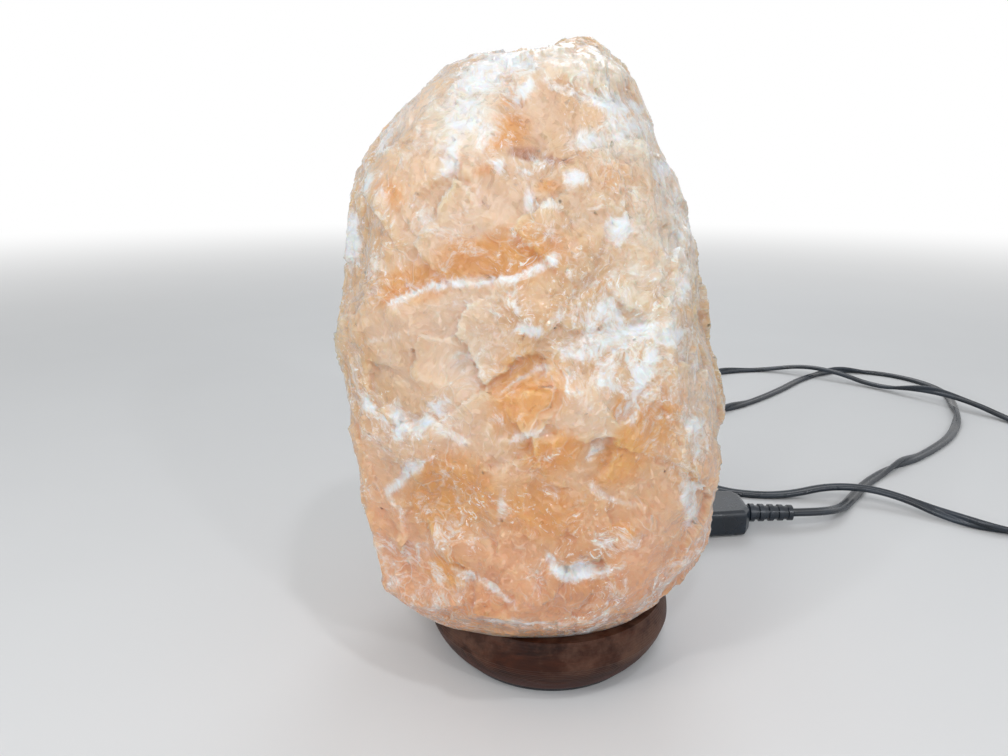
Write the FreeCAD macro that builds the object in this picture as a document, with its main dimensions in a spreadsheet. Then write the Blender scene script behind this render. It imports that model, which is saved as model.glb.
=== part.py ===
import FreeCAD, Part
import Sketcher
import math
import os
from types import SimpleNamespace

# A salt crystal lamp, in millimetres. The origin is the middle of the ring of felt that it stands on,
# +Z is up, -Y faces the viewer and the flex leaves at the back.
os.makedirs("parts", exist_ok=True)
doc = FreeCAD.newDocument("salt_crystal_lamp")
V = FreeCAD.Vector
UP = V(0, 0, 1)

# ---- driving dimensions ----------------------------------------------------------------------------

DIMENSIONS = [
    ("base_radius", 46.0), ("base_top", 25.0), ("base_waist", 15.5), ("base_top_radius", 44.0),
    ("base_foot_radius", 37.5), ("well_radius", 22.6), ("recess_radius", 26.0), ("recess_top", 10.0),
    ("felt_height", 2.0), ("felt_inner", 27.0), ("felt_outer", 36.0), ("felt_gap", 9.6),
    ("groove_width", 7.4), ("groove_top", 8.4), ("exit_turn", 60.0), ("exit_height", 4.6),
    ("exit_reach", 60.0), ("screw_circle", 30.5), ("screw_radius", 1.75), ("screw_head", 3.2),
    ("screw_top", 42.0), ("anchor_radius", 3.4), ("anchor_top", 46.0),
    ("bore_radius", 22.0), ("bore_top", 118.0), ("plate_radius", 25.6), ("plate_thick", 1.0),
    ("clip_width", 8.0), ("clip_thick", 0.5), ("rivet_circle", 18.0), ("rivet_radius", 0.95),
    ("nipple_radius", 5.0), ("nipple_bore", 4.1), ("nut_flats", 14.0), ("holder_radius", 14.0),
    ("holder_split", 26.0), ("holder_top", 52.0), ("holder_wall", 1.8), ("shell_radius", 7.15),
    ("shell_wall", 0.4), ("cap_radius", 6.8), ("cap_top", 55.0), ("bulb_tip", 36.0),
    ("bulb_radius", 13.0), ("bulb_middle", 77.0), ("bulb_top", 92.0), ("glass_wall", 0.7),
    ("flex_width", 5.8), ("core_radius", 1.1), ("core_gap", 1.4),
    ("switch_x", 18.0), ("switch_y", 292.0), ("switch_length", 64.0), ("switch_width", 25.0),
    ("switch_corner", 8.0), ("switch_floor", 0.1), ("switch_part", 7.0), ("switch_top", 15.5),
    ("switch_wall", 1.8),
    ("rocker_length", 16.8), ("rocker_width", 9.6), ("pivot_height", 12.4), ("pivot_radius", 1.05),
    ("plug_x", 70.0), ("plug_y", 91.0), ("plug_height", 7.0), ("plug_thick", 13.7),
    ("plug_length", 36.0), ("plug_half_width", 17.6), ("relief_length", 24.0), ("rib_pitch", 4.9),
    ("rib_radius", 4.6), ("pin_radius", 2.0), ("pin_length", 19.0), ("pin_spread", 9.3),
]

sheet = doc.addObject("Spreadsheet::Sheet", "Sizes")
for row, (alias, value) in enumerate(DIMENSIONS, start=1):
    sheet.set(f"A{row}", alias)
    sheet.set(f"B{row}", str(value))
    sheet.setAlias(f"B{row}", alias)
doc.recompute()


class Size:
    """A length that knows both its number and the expression that gives it from the sheet."""

    def __init__(self, value, text):
        self.value = value
        self.text = text

    def __add__(self, other):
        return Size(self.value + number(other), f"({self.text} + {text_of(other)})")

    def __sub__(self, other):
        return Size(self.value - number(other), f"({self.text} - {text_of(other)})")

    def __rsub__(self, other):
        return Size(number(other) - self.value, f"({text_of(other)} - {self.text})")

    def __mul__(self, other):
        return Size(self.value * number(other), f"({self.text} * {text_of(other)})")

    def __truediv__(self, other):
        return Size(self.value / number(other), f"({self.text} / {text_of(other)})")

    __radd__ = __add__
    __rmul__ = __mul__


def number(length):
    return length.value if isinstance(length, Size) else float(length)


def text_of(length):
    return length.text if isinstance(length, Size) else f"{float(length):.6f}"


D = SimpleNamespace(**{alias: Size(value, f"Sizes.{alias}") for alias, value in DIMENSIONS})

# ---- helpers ---------------------------------------------------------------------------------------

nodes = []


def node(name, piece):
    """Give a finished sub-part the name of its file."""
    piece.Label = name
    nodes.append(piece)
    return piece


def bind(thing, prop, length):
    thing.setExpression(prop, text_of(length))


def put(thing, x=0.0, y=0.0, z=0.0, turn=0.0, axis=UP):
    """Place a piece: its base point from the sheet, and a turn in degrees about an axis."""
    turned_by = FreeCAD.Rotation(axis, number(turn))
    thing.Placement = FreeCAD.Placement(V(number(x), number(y), number(z)), turned_by)
    for prop, length in (("x", x), ("y", y), ("z", z)):
        bind(thing, f"Placement.Base.{prop}", length)
    return thing


def cylinder(name, radius, height, **place):
    piece = doc.addObject("Part::Cylinder", name)
    bind(piece, "Radius", radius)
    bind(piece, "Height", height)
    return put(piece, **place)


def cone(name, low_radius, high_radius, height, **place):
    piece = doc.addObject("Part::Cone", name)
    bind(piece, "Radius1", low_radius)
    bind(piece, "Radius2", high_radius)
    bind(piece, "Height", height)
    return put(piece, **place)


def block(name, length, width, height, x=0.0, y=0.0, z=0.0):
    """A box centred on x and y, standing on z."""
    piece = doc.addObject("Part::Box", name)
    bind(piece, "Length", length)
    bind(piece, "Width", width)
    bind(piece, "Height", height)
    return put(piece, x=x - length / 2 if isinstance(length, Size) else x - number(length) / 2,
               y=y - width / 2 if isinstance(width, Size) else y - number(width) / 2, z=z)


def cut(name, base, *tools):
    piece = doc.addObject("Part::Cut", name)
    piece.Base = base
    piece.Tool = tools[0] if len(tools) == 1 else fuse(name + "_tools", *tools)
    return piece


def fuse(name, *pieces):
    piece = doc.addObject("Part::MultiFuse", name)
    piece.Shapes = list(pieces)
    return piece


def group(name, pieces):
    """Several alike pieces as one node."""
    piece = doc.addObject("Part::Compound", name)
    piece.Links = list(pieces)
    return piece


def plane_of(body, role):
    return next(item for item in body.Origin.OriginFeatures if item.Role == role)


def profile(sketch, points):
    """Close an outline through (across, up) points; a third value is the radius of the arc that
    arrives at the point, bulging to the right of the way there, or to its left where negative."""
    count = len(points)
    ends = []
    for index, start in enumerate(points):
        stop = points[(index + 1) % count]
        a = V(number(start[0]), number(start[1]), 0)
        b = V(number(stop[0]), number(stop[1]), 0)
        if len(stop) == 3:
            radius = abs(number(stop[2]))
            side = 1 if number(stop[2]) > 0 else -1
            chord = b - a
            rise = radius - math.sqrt(radius**2 - (chord.Length / 2) ** 2)
            middle = (a + b) / 2 + V(chord.y, -chord.x, 0).normalize() * rise * side
            sketch.addGeometry(Part.Arc(a, middle, b))
        else:
            sketch.addGeometry(Part.LineSegment(a, b))
        ends.append((1, 2) if sketch.getPoint(index, 1).distanceToPoint(a) < 1e-6 else (2, 1))
    for index in range(count):
        after = (index + 1) % count
        joined = Sketcher.Constraint("Coincident", index, ends[index][1], after, ends[after][0])
        sketch.addConstraint(joined)
        if len(points[after]) == 3:
            held(sketch, "Radius", [index], abs_size(points[after][2]))
        corner = [index, ends[index][0]]
        for kind, axis_line, length in (("DistanceX", -2, points[index][0]),
                                        ("DistanceY", -1, points[index][1])):
            if number(length) == 0:
                sketch.addConstraint(Sketcher.Constraint("PointOnObject", *corner, axis_line))
            elif number(length) > 0:
                held(sketch, kind, [-1, 1] + corner, length)
            else:
                held(sketch, kind, corner + [-1, 1], abs_size(length))


def abs_size(length):
    return length if number(length) >= 0 else 0 - length


def held(sketch, kind, where, length):
    """A dimension that follows the sheet."""
    index = sketch.addConstraint(Sketcher.Constraint(kind, *where, number(length)))
    sketch.setExpression(f"Constraints[{index}]", text_of(length))


def sketched(name, role, points, lift=0.0):
    """A body with one sketch on one of its origin planes, lifted off that plane."""
    body = doc.addObject("PartDesign::Body", name)
    sketch = body.newObject("Sketcher::SketchObject", name + "_outline")
    sketch.AttachmentSupport = [(plane_of(body, role), "")]
    sketch.MapMode = "FlatFace"
    sketch.AttachmentOffset = FreeCAD.Placement(V(0, 0, number(lift)), FreeCAD.Rotation())
    bind(sketch, "AttachmentOffset.Base.z", lift)
    profile(sketch, points)
    return body, sketch


def turned(name, points):
    """A body turned about +Z from an outline of (radius, height) points."""
    body, sketch = sketched(name, "XZ_Plane", points)
    turning = body.newObject("PartDesign::Revolution", name + "_turning")
    turning.Profile = sketch
    turning.ReferenceAxis = (sketch, ["V_Axis"])
    turning.Angle = 360
    return body


def padded(name, role, points, length, lift=0.0, middle=False):
    """A body padded square to a plane, from it or to both sides of it."""
    body, sketch = sketched(name, role, points, lift)
    pad = body.newObject("PartDesign::Pad", name + "_pad")
    pad.Profile = sketch
    bind(pad, "Length", length)
    pad.Midplane = middle
    return body


def softened(body, radius, pick):
    """Fillet the edges of a body's last feature that pick accepts."""
    doc.recompute()
    last = body.Tip
    names = [f"Edge{i}" for i, edge in enumerate(last.Shape.Edges, start=1) if pick(edge)]
    rounding = body.newObject("PartDesign::Fillet", body.Name + "_rounding")
    rounding.Base = (last, names)
    bind(rounding, "Radius", radius)
    return body


def around(radius, degrees):
    """The x and y of a point on a circle about the lamp's axis."""
    angle = math.radians(degrees)
    return radius * math.cos(angle), radius * math.sin(angle)


# ---- tubes along a route ---------------------------------------------------------------------------


def route_edges(points, largest=None):
    """Straight runs joined by tangent arcs, each as large as its two runs allow. Returns the edges
    and the radius of each arc."""
    corners = [V(*point) for point in points]
    runs = [b - a for a, b in zip(corners, corners[1:])]
    edges, radii, here = [], [], corners[0]
    for corner, before, after in zip(corners[1:], runs, runs[1:]):
        way_in, way_out = V(before).normalize(), V(after).normalize()
        half_turn = way_in.getAngle(way_out) / 2
        radius = 0.45 * min(before.Length, after.Length) / math.tan(half_turn)
        radius = min(radius, largest) if largest else radius
        reach = radius * math.tan(half_turn)
        start, stop = corner - way_in * reach, corner + way_out * reach
        inward = (way_out - way_in).normalize()
        middle = corner + inward * (radius / math.cos(half_turn) - radius)
        edges += [Part.LineSegment(here, start).toShape(), Part.Arc(start, middle, stop).toShape()]
        radii.append(radius)
        here = stop
    edges.append(Part.LineSegment(here, corners[-1]).toShape())
    return edges, radii


def swept(name, points, radius, largest=None):
    """A round tube along a route, checked against its section times its length."""
    edges, radii = route_edges(points, largest)
    path = doc.addObject("Part::Feature", name + "_route")
    path.Shape = Part.Wire(edges)
    section = doc.addObject("Part::Circle", name + "_section")
    bind(section, "Radius", radius)
    first = V(*points[1]) - V(*points[0])
    section.Placement = FreeCAD.Placement(V(*points[0]), FreeCAD.Rotation(UP, first))
    piece = doc.addObject("Part::Sweep", name)
    piece.Sections = [section]
    piece.Spine = (path, [f"Edge{i + 1}" for i in range(len(edges))])
    piece.Solid = True
    doc.recompute()
    length = path.Shape.Length
    ratio = piece.Shape.Volume / (math.pi * number(radius) ** 2 * length)
    print(f"{name}: {length:.0f} mm long, tightest arc {min(radii):.1f} mm, volume ratio {ratio:.4f}")
    if abs(ratio - 1) > 0.01:
        raise RuntimeError(f"{name} does not follow its route")
    return piece


# ---- the salt crystal's surface --------------------------------------------------------------------

# Sections of the crystal: height, left, right, front and back edge, read off its outline.
SECTIONS = [
    (25.0, -54.0, 39.0, -38.0, 41.0), (32.0, -59.5, 44.0, -46.0, 49.0),
    (41.0, -68.0, 51.0, -53.0, 55.0), (52.0, -72.5, 56.5, -58.0, 60.0),
    (68.0, -73.5, 58.0, -61.0, 63.0), (86.0, -72.0, 59.5, -62.0, 64.0),
    (105.0, -72.0, 58.0, -61.5, 62.0), (125.0, -74.5, 54.5, -59.5, 60.0),
    (145.0, -74.0, 48.0, -56.5, 56.0), (165.0, -70.0, 41.0, -52.0, 51.0),
    (182.0, -61.5, 34.0, -46.5, 45.0), (196.0, -50.0, 27.5, -40.0, 38.0),
    (206.0, -38.0, 22.5, -32.0, 29.0), (212.0, -26.0, 18.0, -21.0, 17.0),
    (214.5, -4.0, 15.5, -12.0, 10.0), (218.0, 3.0, 11.0, -6.0, 5.0),
]
MIDDLE = (-7.0, 0.0, 112.0)  # the crystal is seen whole from here
SQUARENESS = 2.25  # how far the sections lean from ellipses to rectangles
FACETS = 46  # broad fracture faces, spread evenly over the crystal
FACET_DEPTH = (0.6, 3.4)  # how far the shallowest and the deepest cut in
SKIN = 2.6  # rock outside the sections, which the faces cut away again
PLATES = 150  # smaller plates of broken face, about 23 mm apart
PLATE_LEAN, PLATE_DEPTH = 16.0, 2.0
# Hollows struck out of the crystal: azimuth and elevation seen from MIDDLE, radius of the hollow
# across, radius up and down, and depth.
HOLLOWS = [
    (-101.0, 12.0, 34.0, 11.0, 3.2), (-64.0, -19.0, 15.0, 19.0, 2.6),
    (-118.0, -33.0, 20.0, 12.0, 2.4), (-82.0, 50.0, 20.0, 13.0, 2.6),
    (-150.0, 28.0, 14.0, 24.0, 2.2), (-20.0, 20.0, 18.0, 24.0, 2.6),
    (80.0, 10.0, 30.0, 22.0, 3.4), (140.0, -20.0, 24.0, 18.0, 2.8),
]


def scatter(index, lane):
    """A steady number between 0 and 1 that looks random."""
    wave = math.sin(index * 12.9898 + lane * 78.233) * 43758.5453
    return wave - math.floor(wave)


def section_at(height):
    """Left, right, front and back of the crystal at a height, on a smooth curve."""
    height = min(max(height, SECTIONS[0][0]), SECTIONS[-1][0])
    low = max(i for i in range(len(SECTIONS) - 1) if SECTIONS[i][0] <= height)
    span = SECTIONS[low + 1][0] - SECTIONS[low][0]
    share = (height - SECTIONS[low][0]) / span
    edges = []
    for side in range(1, 5):
        a, b = SECTIONS[low], SECTIONS[low + 1]
        before, after = SECTIONS[max(low - 1, 0)], SECTIONS[min(low + 2, len(SECTIONS) - 1)]
        slope_a = (b[side] - before[side]) / (b[0] - before[0]) * span
        slope_b = (after[side] - a[side]) / (after[0] - a[0]) * span
        cube, square = share**3, share**2
        edges.append((2 * cube - 3 * square + 1) * a[side] + (cube - 2 * square + share) * slope_a
                     + (3 * square - 2 * cube) * b[side] + (cube - square) * slope_b)
    return edges


def direction(azimuth, elevation):
    """A unit direction, its angles in degrees."""
    turn, lift = math.radians(azimuth), math.radians(elevation)
    return (math.cos(lift) * math.cos(turn), math.cos(lift) * math.sin(turn), math.sin(lift))


def along(way, reach):
    return tuple(start + part * reach for start, part in zip(MIDDLE, way))


def beyond_sections(point):
    """How far outside the plain sections a point is: negative inside."""
    x, y, z = point
    left, right, front, back = section_at(z)
    across, deep = (right - left) / 2, (back - front) / 2
    u = abs(x - (left + right) / 2) / across
    v = abs(y - (front + back) / 2) / deep
    side = ((u**SQUARENESS + v**SQUARENESS) ** (1 / SQUARENESS) - 1) * min(across, deep)
    return max(side - SKIN, z - SECTIONS[-1][0], SECTIONS[0][0] - z)


def reach_along(way, beyond, longest=150.0, step=3.0):
    """The distance from MIDDLE to the surface where beyond turns positive."""
    reach = step
    while beyond(along(way, reach)) < 0 and reach < longest:
        reach += step
    low, high = reach - step, reach
    for _ in range(16):
        middle = (low + high) / 2
        if beyond(along(way, middle)) < 0:
            low = middle
        else:
            high = middle
    return (low + high) / 2


def facet_planes():
    """The fracture faces: each a unit normal and its distance from MIDDLE, cut a little way in
    below the plain sections and tilted a little."""
    planes = []
    for index in range(FACETS):
        lift = math.degrees(math.asin(1 - 2 * (index + 0.5) / FACETS))
        turn = index * 137.508
        if lift < -58:
            continue
        way = direction(turn, lift)
        reach = reach_along(way, beyond_sections)
        spot = along(way, reach)
        # The surface's own slope, by small steps along the three axes.
        slope = []
        for axis in range(3):
            ahead = tuple(c + (0.5 if i == axis else 0.0) for i, c in enumerate(spot))
            behind = tuple(c - (0.5 if i == axis else 0.0) for i, c in enumerate(spot))
            slope.append(beyond_sections(ahead) - beyond_sections(behind))
        tilt = [0.22 * (scatter(index, lane) - 0.5) for lane in (1, 2, 3)]
        size = math.sqrt(sum(s * s for s in slope))
        normal = [s / size + t for s, t in zip(slope, tilt)]
        size = math.sqrt(sum(n * n for n in normal))
        normal = [n / size for n in normal]
        depth = FACET_DEPTH[0] + (FACET_DEPTH[1] - FACET_DEPTH[0]) * scatter(index, 4)
        at = sum(n * (c - m) for n, c, m in zip(normal, spot, MIDDLE))
        planes.append((normal, at - depth))
    return planes


def hollow_depth(way):
    """How deep the struck hollows are in a direction: steep at their lower rim, easy above."""
    x, y, z = way
    turn, lift = math.degrees(math.atan2(y, x)), math.degrees(math.asin(z))
    depth = 0.0
    for azimuth, elevation, wide, high, deep in HOLLOWS:
        across = ((turn - azimuth + 180) % 360 - 180) * math.cos(math.radians(lift)) / wide
        up = (lift - elevation) / high
        up = up * 1.6 if up < 0 else up * 0.75
        away = across * across + up * up
        if away < 1:
            depth += deep * (1 - away) ** 1.3
    return depth


PLANES = facet_planes()


def fracture_plates():
    """Plates of broken face: for each its middle direction, how it leans, and how far in it lies."""
    plates = []
    for index in range(PLATES):
        lift = math.degrees(math.asin(1 - 2 * (index + 0.5) / PLATES))
        way = direction(index * 137.508 + 14 * (scatter(index, 7) - 0.5), lift)
        lean = [PLATE_LEAN * (scatter(index, lane) - 0.5) for lane in (8, 9, 10)]
        plates.append((way, lean, PLATE_DEPTH * scatter(index, 11)))
    return plates


PLATE_LIST = fracture_plates()


def plate_depth(way):
    """How far in, in mm, the plate under a direction puts the surface."""
    middle, lean, depth = max(PLATE_LIST, key=lambda plate: sum(
        a * b for a, b in zip(plate[0], way)))
    return depth + sum(slope * (a - b) for slope, a, b in zip(lean, way, middle))


def beyond_crystal(point):
    shift = [c - m for c, m in zip(point, MIDDLE)]
    faces = max(sum(n * s for n, s in zip(normal, shift)) - at for normal, at in PLANES)
    return max(beyond_sections(point), faces)


def crystal_corner(azimuth, share):
    """A point of the crystal's surface, from its lower edge, share 0, to its summit, share 1."""
    foot = SECTIONS[0][0]
    turn = math.radians(azimuth)
    low, high = 5.0, 80.0
    for _ in range(20):
        out = (low + high) / 2
        spot = (MIDDLE[0] + out * math.cos(turn), MIDDLE[1] + out * math.sin(turn), foot + 0.01)
        if beyond_crystal(spot) < 0:
            low = out
        else:
            high = out
    lowest = math.degrees(math.atan2(foot - MIDDLE[2], low))
    if share == 0:
        return V(MIDDLE[0] + low * math.cos(turn), MIDDLE[1] + low * math.sin(turn), foot)
    way = direction(azimuth, lowest + (90 - lowest) * share)
    fade = min(1.0, share / 0.12)
    return V(*along(way, reach_along(way, beyond_crystal)
                      - (hollow_depth(way) + plate_depth(way)) * fade))


def crystal_solid(sides=56, rings=34):
    """The crystal as flat faces between rings of corners, closed by a flat underside."""
    summit = crystal_corner(0, 1)
    grid = [[crystal_corner(360 * s / sides, ring / rings) for s in range(sides)]
            for ring in range(rings)]
    flat = [Part.Face(Part.makePolygon(grid[0] + grid[0][:1]))]
    for low, high in zip(grid, grid[1:]):
        for s in range(sides):
            a, b = low[s], low[(s + 1) % sides]
            c, d = high[(s + 1) % sides], high[s]
            corners = [(a, b, c), (a, c, d)] if (s % 2) else [(a, b, d), (b, c, d)]
            flat += [Part.Face(Part.makePolygon(list(t) + [t[0]])) for t in corners]
    top = grid[-1]
    flat += [Part.Face(Part.makePolygon([top[s], top[(s + 1) % sides], summit, top[s]]))
             for s in range(sides)]
    solid = Part.Solid(Part.Shell(flat))
    if solid.Volume < 0:
        solid.reverse()
    return solid


# ---- crystal and base ------------------------------------------------------------------------------

SCREW_TURNS = (90.0, 210.0, 330.0)


def screw_positions():
    """The three screws, as x and y expressions from the sheet."""
    places = []
    for degrees in SCREW_TURNS:
        x, y = around(1.0, degrees)
        places.append((D.screw_circle * x, D.screw_circle * y))
    return places


def make_crystal():
    rough = doc.addObject("Part::Feature", "crystal_rough")
    rough.Shape = crystal_solid()
    bore = cylinder("bulb_bore", D.bore_radius, D.bore_top - D.base_top, z=D.base_top)
    drill_point = cone("bore_end", D.bore_radius, 3.0, 9.0, z=D.bore_top)
    holes = [cylinder(f"anchor_hole{i}", D.anchor_radius, D.anchor_top - D.base_top + 1.0,
                      x=x, y=y, z=D.base_top - 1.0)
             for i, (x, y) in enumerate(screw_positions())]
    node("salt_crystal", cut("salt_crystal", rough, bore, drill_point, *holes))


def make_base():
    wood = turned("turned_wood", [
        (D.recess_radius, D.felt_height), (D.base_foot_radius, D.felt_height),
        (D.base_radius, D.base_waist, 26.0), (D.base_top_radius, D.base_top, 30.0),
        (D.well_radius, D.base_top), (D.well_radius, D.recess_top), (D.recess_radius, D.recess_top),
    ])
    x, y = around(1.0, D.exit_turn.value)
    groove = doc.addObject("Part::Box", "groove")
    bind(groove, "Length", D.base_radius)
    bind(groove, "Width", D.groove_width)
    bind(groove, "Height", D.groove_top)
    start = D.recess_radius - 3.0
    put(groove, x=start * x + D.groove_width * (y / 2), y=start * y - D.groove_width * (x / 2),
        turn=D.exit_turn)
    tools = [groove]
    for i, (sx, sy) in enumerate(screw_positions()):
        tools.append(cylinder(f"screw_hole{i}", D.screw_radius + 0.15, D.base_top, x=sx, y=sy, z=1.0))
        tools.append(cone(f"countersink{i}", D.screw_head + 0.2, D.screw_radius + 0.15, 2.6,
                          x=sx, y=sy, z=D.felt_height))
    node("wooden_base", cut("wooden_base", wood, *tools))


def make_felt_ring():
    ring = turned("felt_blank", [(D.felt_inner, 0.0), (D.felt_outer, 0.0),
                                 (D.felt_outer, D.felt_height), (D.felt_inner, D.felt_height)])
    x, y = around(1.0, D.exit_turn.value)
    gap = doc.addObject("Part::Box", "felt_gap_cut")
    bind(gap, "Length", D.base_radius)
    bind(gap, "Width", D.felt_gap)
    bind(gap, "Height", D.felt_height + 2.0)
    start = D.felt_inner - 8.0
    put(gap, x=start * x + D.felt_gap * (y / 2), y=start * y - D.felt_gap * (x / 2), z=-1.0,
        turn=D.exit_turn)
    node("felt_ring", cut("felt_ring", ring, gap))


def make_base_screws():
    screws, anchors = [], []
    for i, (x, y) in enumerate(screw_positions()):
        screw = turned(f"base_screw{i}", [
            (0.0, D.felt_height + 0.05), (D.screw_head, D.felt_height + 0.05),
            (D.screw_radius, D.felt_height + 2.4), (D.screw_radius, D.screw_top - 3.0),
            (0.0, D.screw_top)])
        screws.append(put(screw, x=x, y=y))
        anchor = turned(f"anchor{i}", [
            (D.screw_radius, D.base_top), (D.anchor_radius, D.base_top),
            (D.anchor_radius - 0.5, D.anchor_top), (0.0, D.anchor_top), (0.0, D.screw_top),
            (D.screw_radius, D.screw_top - 3.0)])
        anchors.append(put(anchor, x=x, y=y))
    node("base_screws", group("base_screws", screws))
    node("screw_anchors", group("screw_anchors", anchors))


# ---- the clip-in bulb carrier ----------------------------------------------------------------------

CLIP_TURNS = (0.0, 120.0, 240.0)


def make_plate():
    bottom = D.recess_top - D.plate_thick
    disc = cylinder("plate_disc", D.plate_radius, D.plate_thick, z=bottom)
    holes = [cylinder("nipple_hole", D.nipple_radius, 3.0, z=bottom - 1.0)]
    for i, degrees in enumerate(CLIP_TURNS):
        x, y = around(1.0, degrees)
        holes.append(cylinder(f"rivet_hole{i}", D.rivet_radius, 3.0, x=D.rivet_circle * x,
                              y=D.rivet_circle * y, z=bottom - 1.0))
    node("retaining_plate", cut("retaining_plate", disc, *holes))


def make_clips():
    """Three spring strips that stand on the plate and lean out to grip the crystal's bore."""
    clips, rivets = [], []
    top, thick = D.recess_top, D.clip_thick
    elbow = D.bore_radius - 0.5
    for i, degrees in enumerate(CLIP_TURNS):
        strip = padded(f"clip_strip{i}", "XZ_Plane", [
            (15.4, top), (21.2, top), (20.2, top + 14.0), (elbow, top + 38.0), (16.4, top + 52.0),
            (15.9, top + 52.0), (elbow - thick * 1.1, top + 38.0), (19.6, top + 14.0),
            (20.5, top + thick), (15.4, top + thick)], D.clip_width, middle=True)
        x, y = around(1.0, degrees)
        hole = cylinder(f"clip_hole{i}", D.rivet_radius, 3.0, x=D.rivet_circle, z=top - 1.0)
        clip = cut(f"clip{i}", strip, hole)
        clips.append(put(clip, turn=degrees))
        rivet = turned(f"rivet{i}", [
            (0.0, top - 1.7), (1.7, top - 1.7), (1.7, top - 1.0), (D.rivet_radius, top - 1.0),
            (D.rivet_radius, top + thick), (1.7, top + thick), (0.4, top + thick + 0.8, 2.3),
            (0.0, top + thick + 0.8)])
        rivets.append(put(rivet, x=D.rivet_circle * x, y=D.rivet_circle * y))
    node("spring_clips", group("spring_clips", clips))
    node("clip_rivets", group("clip_rivets", rivets))


def make_nipple():
    node("threaded_nipple", turned("threaded_nipple", [
        (D.nipple_bore, 6.4), (D.nipple_radius, 6.4), (D.nipple_radius, 18.0),
        (D.nipple_bore, 18.0)]))
    prism = doc.addObject("Part::Prism", "nut_blank")
    prism.Polygon = 6
    bind(prism, "Circumradius", D.nut_flats / math.sqrt(3.0))
    bind(prism, "Height", 2.5)
    put(prism, z=6.5)
    hole = cylinder("nut_hole", D.nipple_radius, 5.0, z=5.0)
    node("nipple_nut", cut("nipple_nut", prism, hole))


def make_holder():
    """The bulb holder: a cap on the nipple, a sleeve over it, and the live parts inside."""
    low, split, top, wall = D.recess_top, D.holder_split, D.holder_top, D.holder_wall
    radius = D.holder_radius
    node("holder_cap", turned("holder_cap", [
        (D.nipple_radius, low), (radius - 1.5, low), (radius, split - 5.0), (radius, split),
        (radius - wall, split), (radius - wall, split - 5.0), (radius - 3.2, low + 2.6),
        (D.nipple_radius, low + 2.6)]))
    node("holder_sleeve", turned("holder_sleeve", [
        (radius - wall, split), (radius, split), (radius, top - 5.0), (radius - 1.2, top),
        (9.4, top), (9.4, top - 3.0), (radius - wall, top - 6.0)]))
    base = split + 1.0
    puck = cylinder("insulator_puck", radius - wall - 0.1, 5.0, z=base)
    node("holder_insulator", puck)
    rim = D.shell_radius + D.shell_wall
    node("screw_shell", turned("screw_shell", [
        (D.shell_radius, base + 5.0), (rim, base + 5.0), (rim, top - 3.0),
        (D.shell_radius, top - 3.0)]))
    node("centre_contact", padded("centre_contact", "XZ_Plane", [
        (-5.0, base + 5.0), (5.0, base + 5.0), (5.0, base + 5.5), (1.6, base + 5.5),
        (2.0, D.bulb_tip - 0.8), (0.0, D.bulb_tip - 0.3), (-2.0, D.bulb_tip - 0.8),
        (-1.6, base + 5.5), (-5.0, base + 5.5)], 3.0, middle=True))
    terminals, screws = [], []
    for side in (-1, 1):
        blank = block(f"terminal_block{side + 1}", 5.0, 5.0, 4.0, y=6.5 * side, z=base - 4.0)
        hole = cylinder(f"terminal_bore{side + 1}", 0.9, 4.0, x=-3.5, y=6.5 * side, z=base - 2.0,
                        turn=90, axis=V(0, 1, 0))
        terminals.append(cut(f"terminal{side + 1}", blank, hole))
        shank = cylinder(f"terminal_shank{side + 1}", 0.9, 3.0, x=-3.5, y=6.5 * side,
                         z=base - 2.0, turn=90, axis=V(0, 1, 0))
        head = cylinder(f"terminal_head{side + 1}", 1.7, 1.0, x=-3.5, y=6.5 * side, z=base - 2.0,
                        turn=90, axis=V(0, 1, 0))
        screws.append(fuse(f"terminal_screw{side + 1}", shank, head))
    node("holder_terminals", group("holder_terminals", terminals))
    node("terminal_screws", group("terminal_screws", screws))


def make_exit():
    """The bush that grips the flex in the base's groove, and the two cores from it to the holder."""
    x, y = around(1.0, D.exit_turn.value)
    inner = D.recess_radius - 2.3
    bush = turned("flex_bush", [
        (0.0, inner), (3.9, inner), (3.9, inner + 1.6), (3.55, inner + 1.6), (3.55, 47.0),
        (3.1, D.exit_reach), (0.0, D.exit_reach)])
    bush.Placement = FreeCAD.Placement(V(0, 0, D.exit_height.value), FreeCAD.Rotation(UP, V(x, y, 0)))
    bind(bush, "Placement.Base.z", D.exit_height)
    node("flex_bush", bush)
    height, apart = D.exit_height.value, D.core_gap.value
    holder_base = D.holder_split.value + 1.0
    cores = []
    for side in (-1, 1):
        start = V(x, y, 0) * inner.value + V(-y, x, 0) * apart * side
        foot = V(x, y, 0) * 0.6 + V(-y, x, 0) * apart * side
        route = [(start.x, start.y, height), (foot.x, foot.y, height),
                 (foot.x, foot.y, holder_base - 8.5),
                 (0.6, 6.5 * side, holder_base - 6.5), (0.6, 6.5 * side, holder_base - 4.0)]
        cores.append(swept(f"core{side + 1}", route, D.core_radius, largest=4.6))
    node("holder_leads", group("holder_leads", cores))


# ---- the bulb --------------------------------------------------------------------------------------


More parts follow.
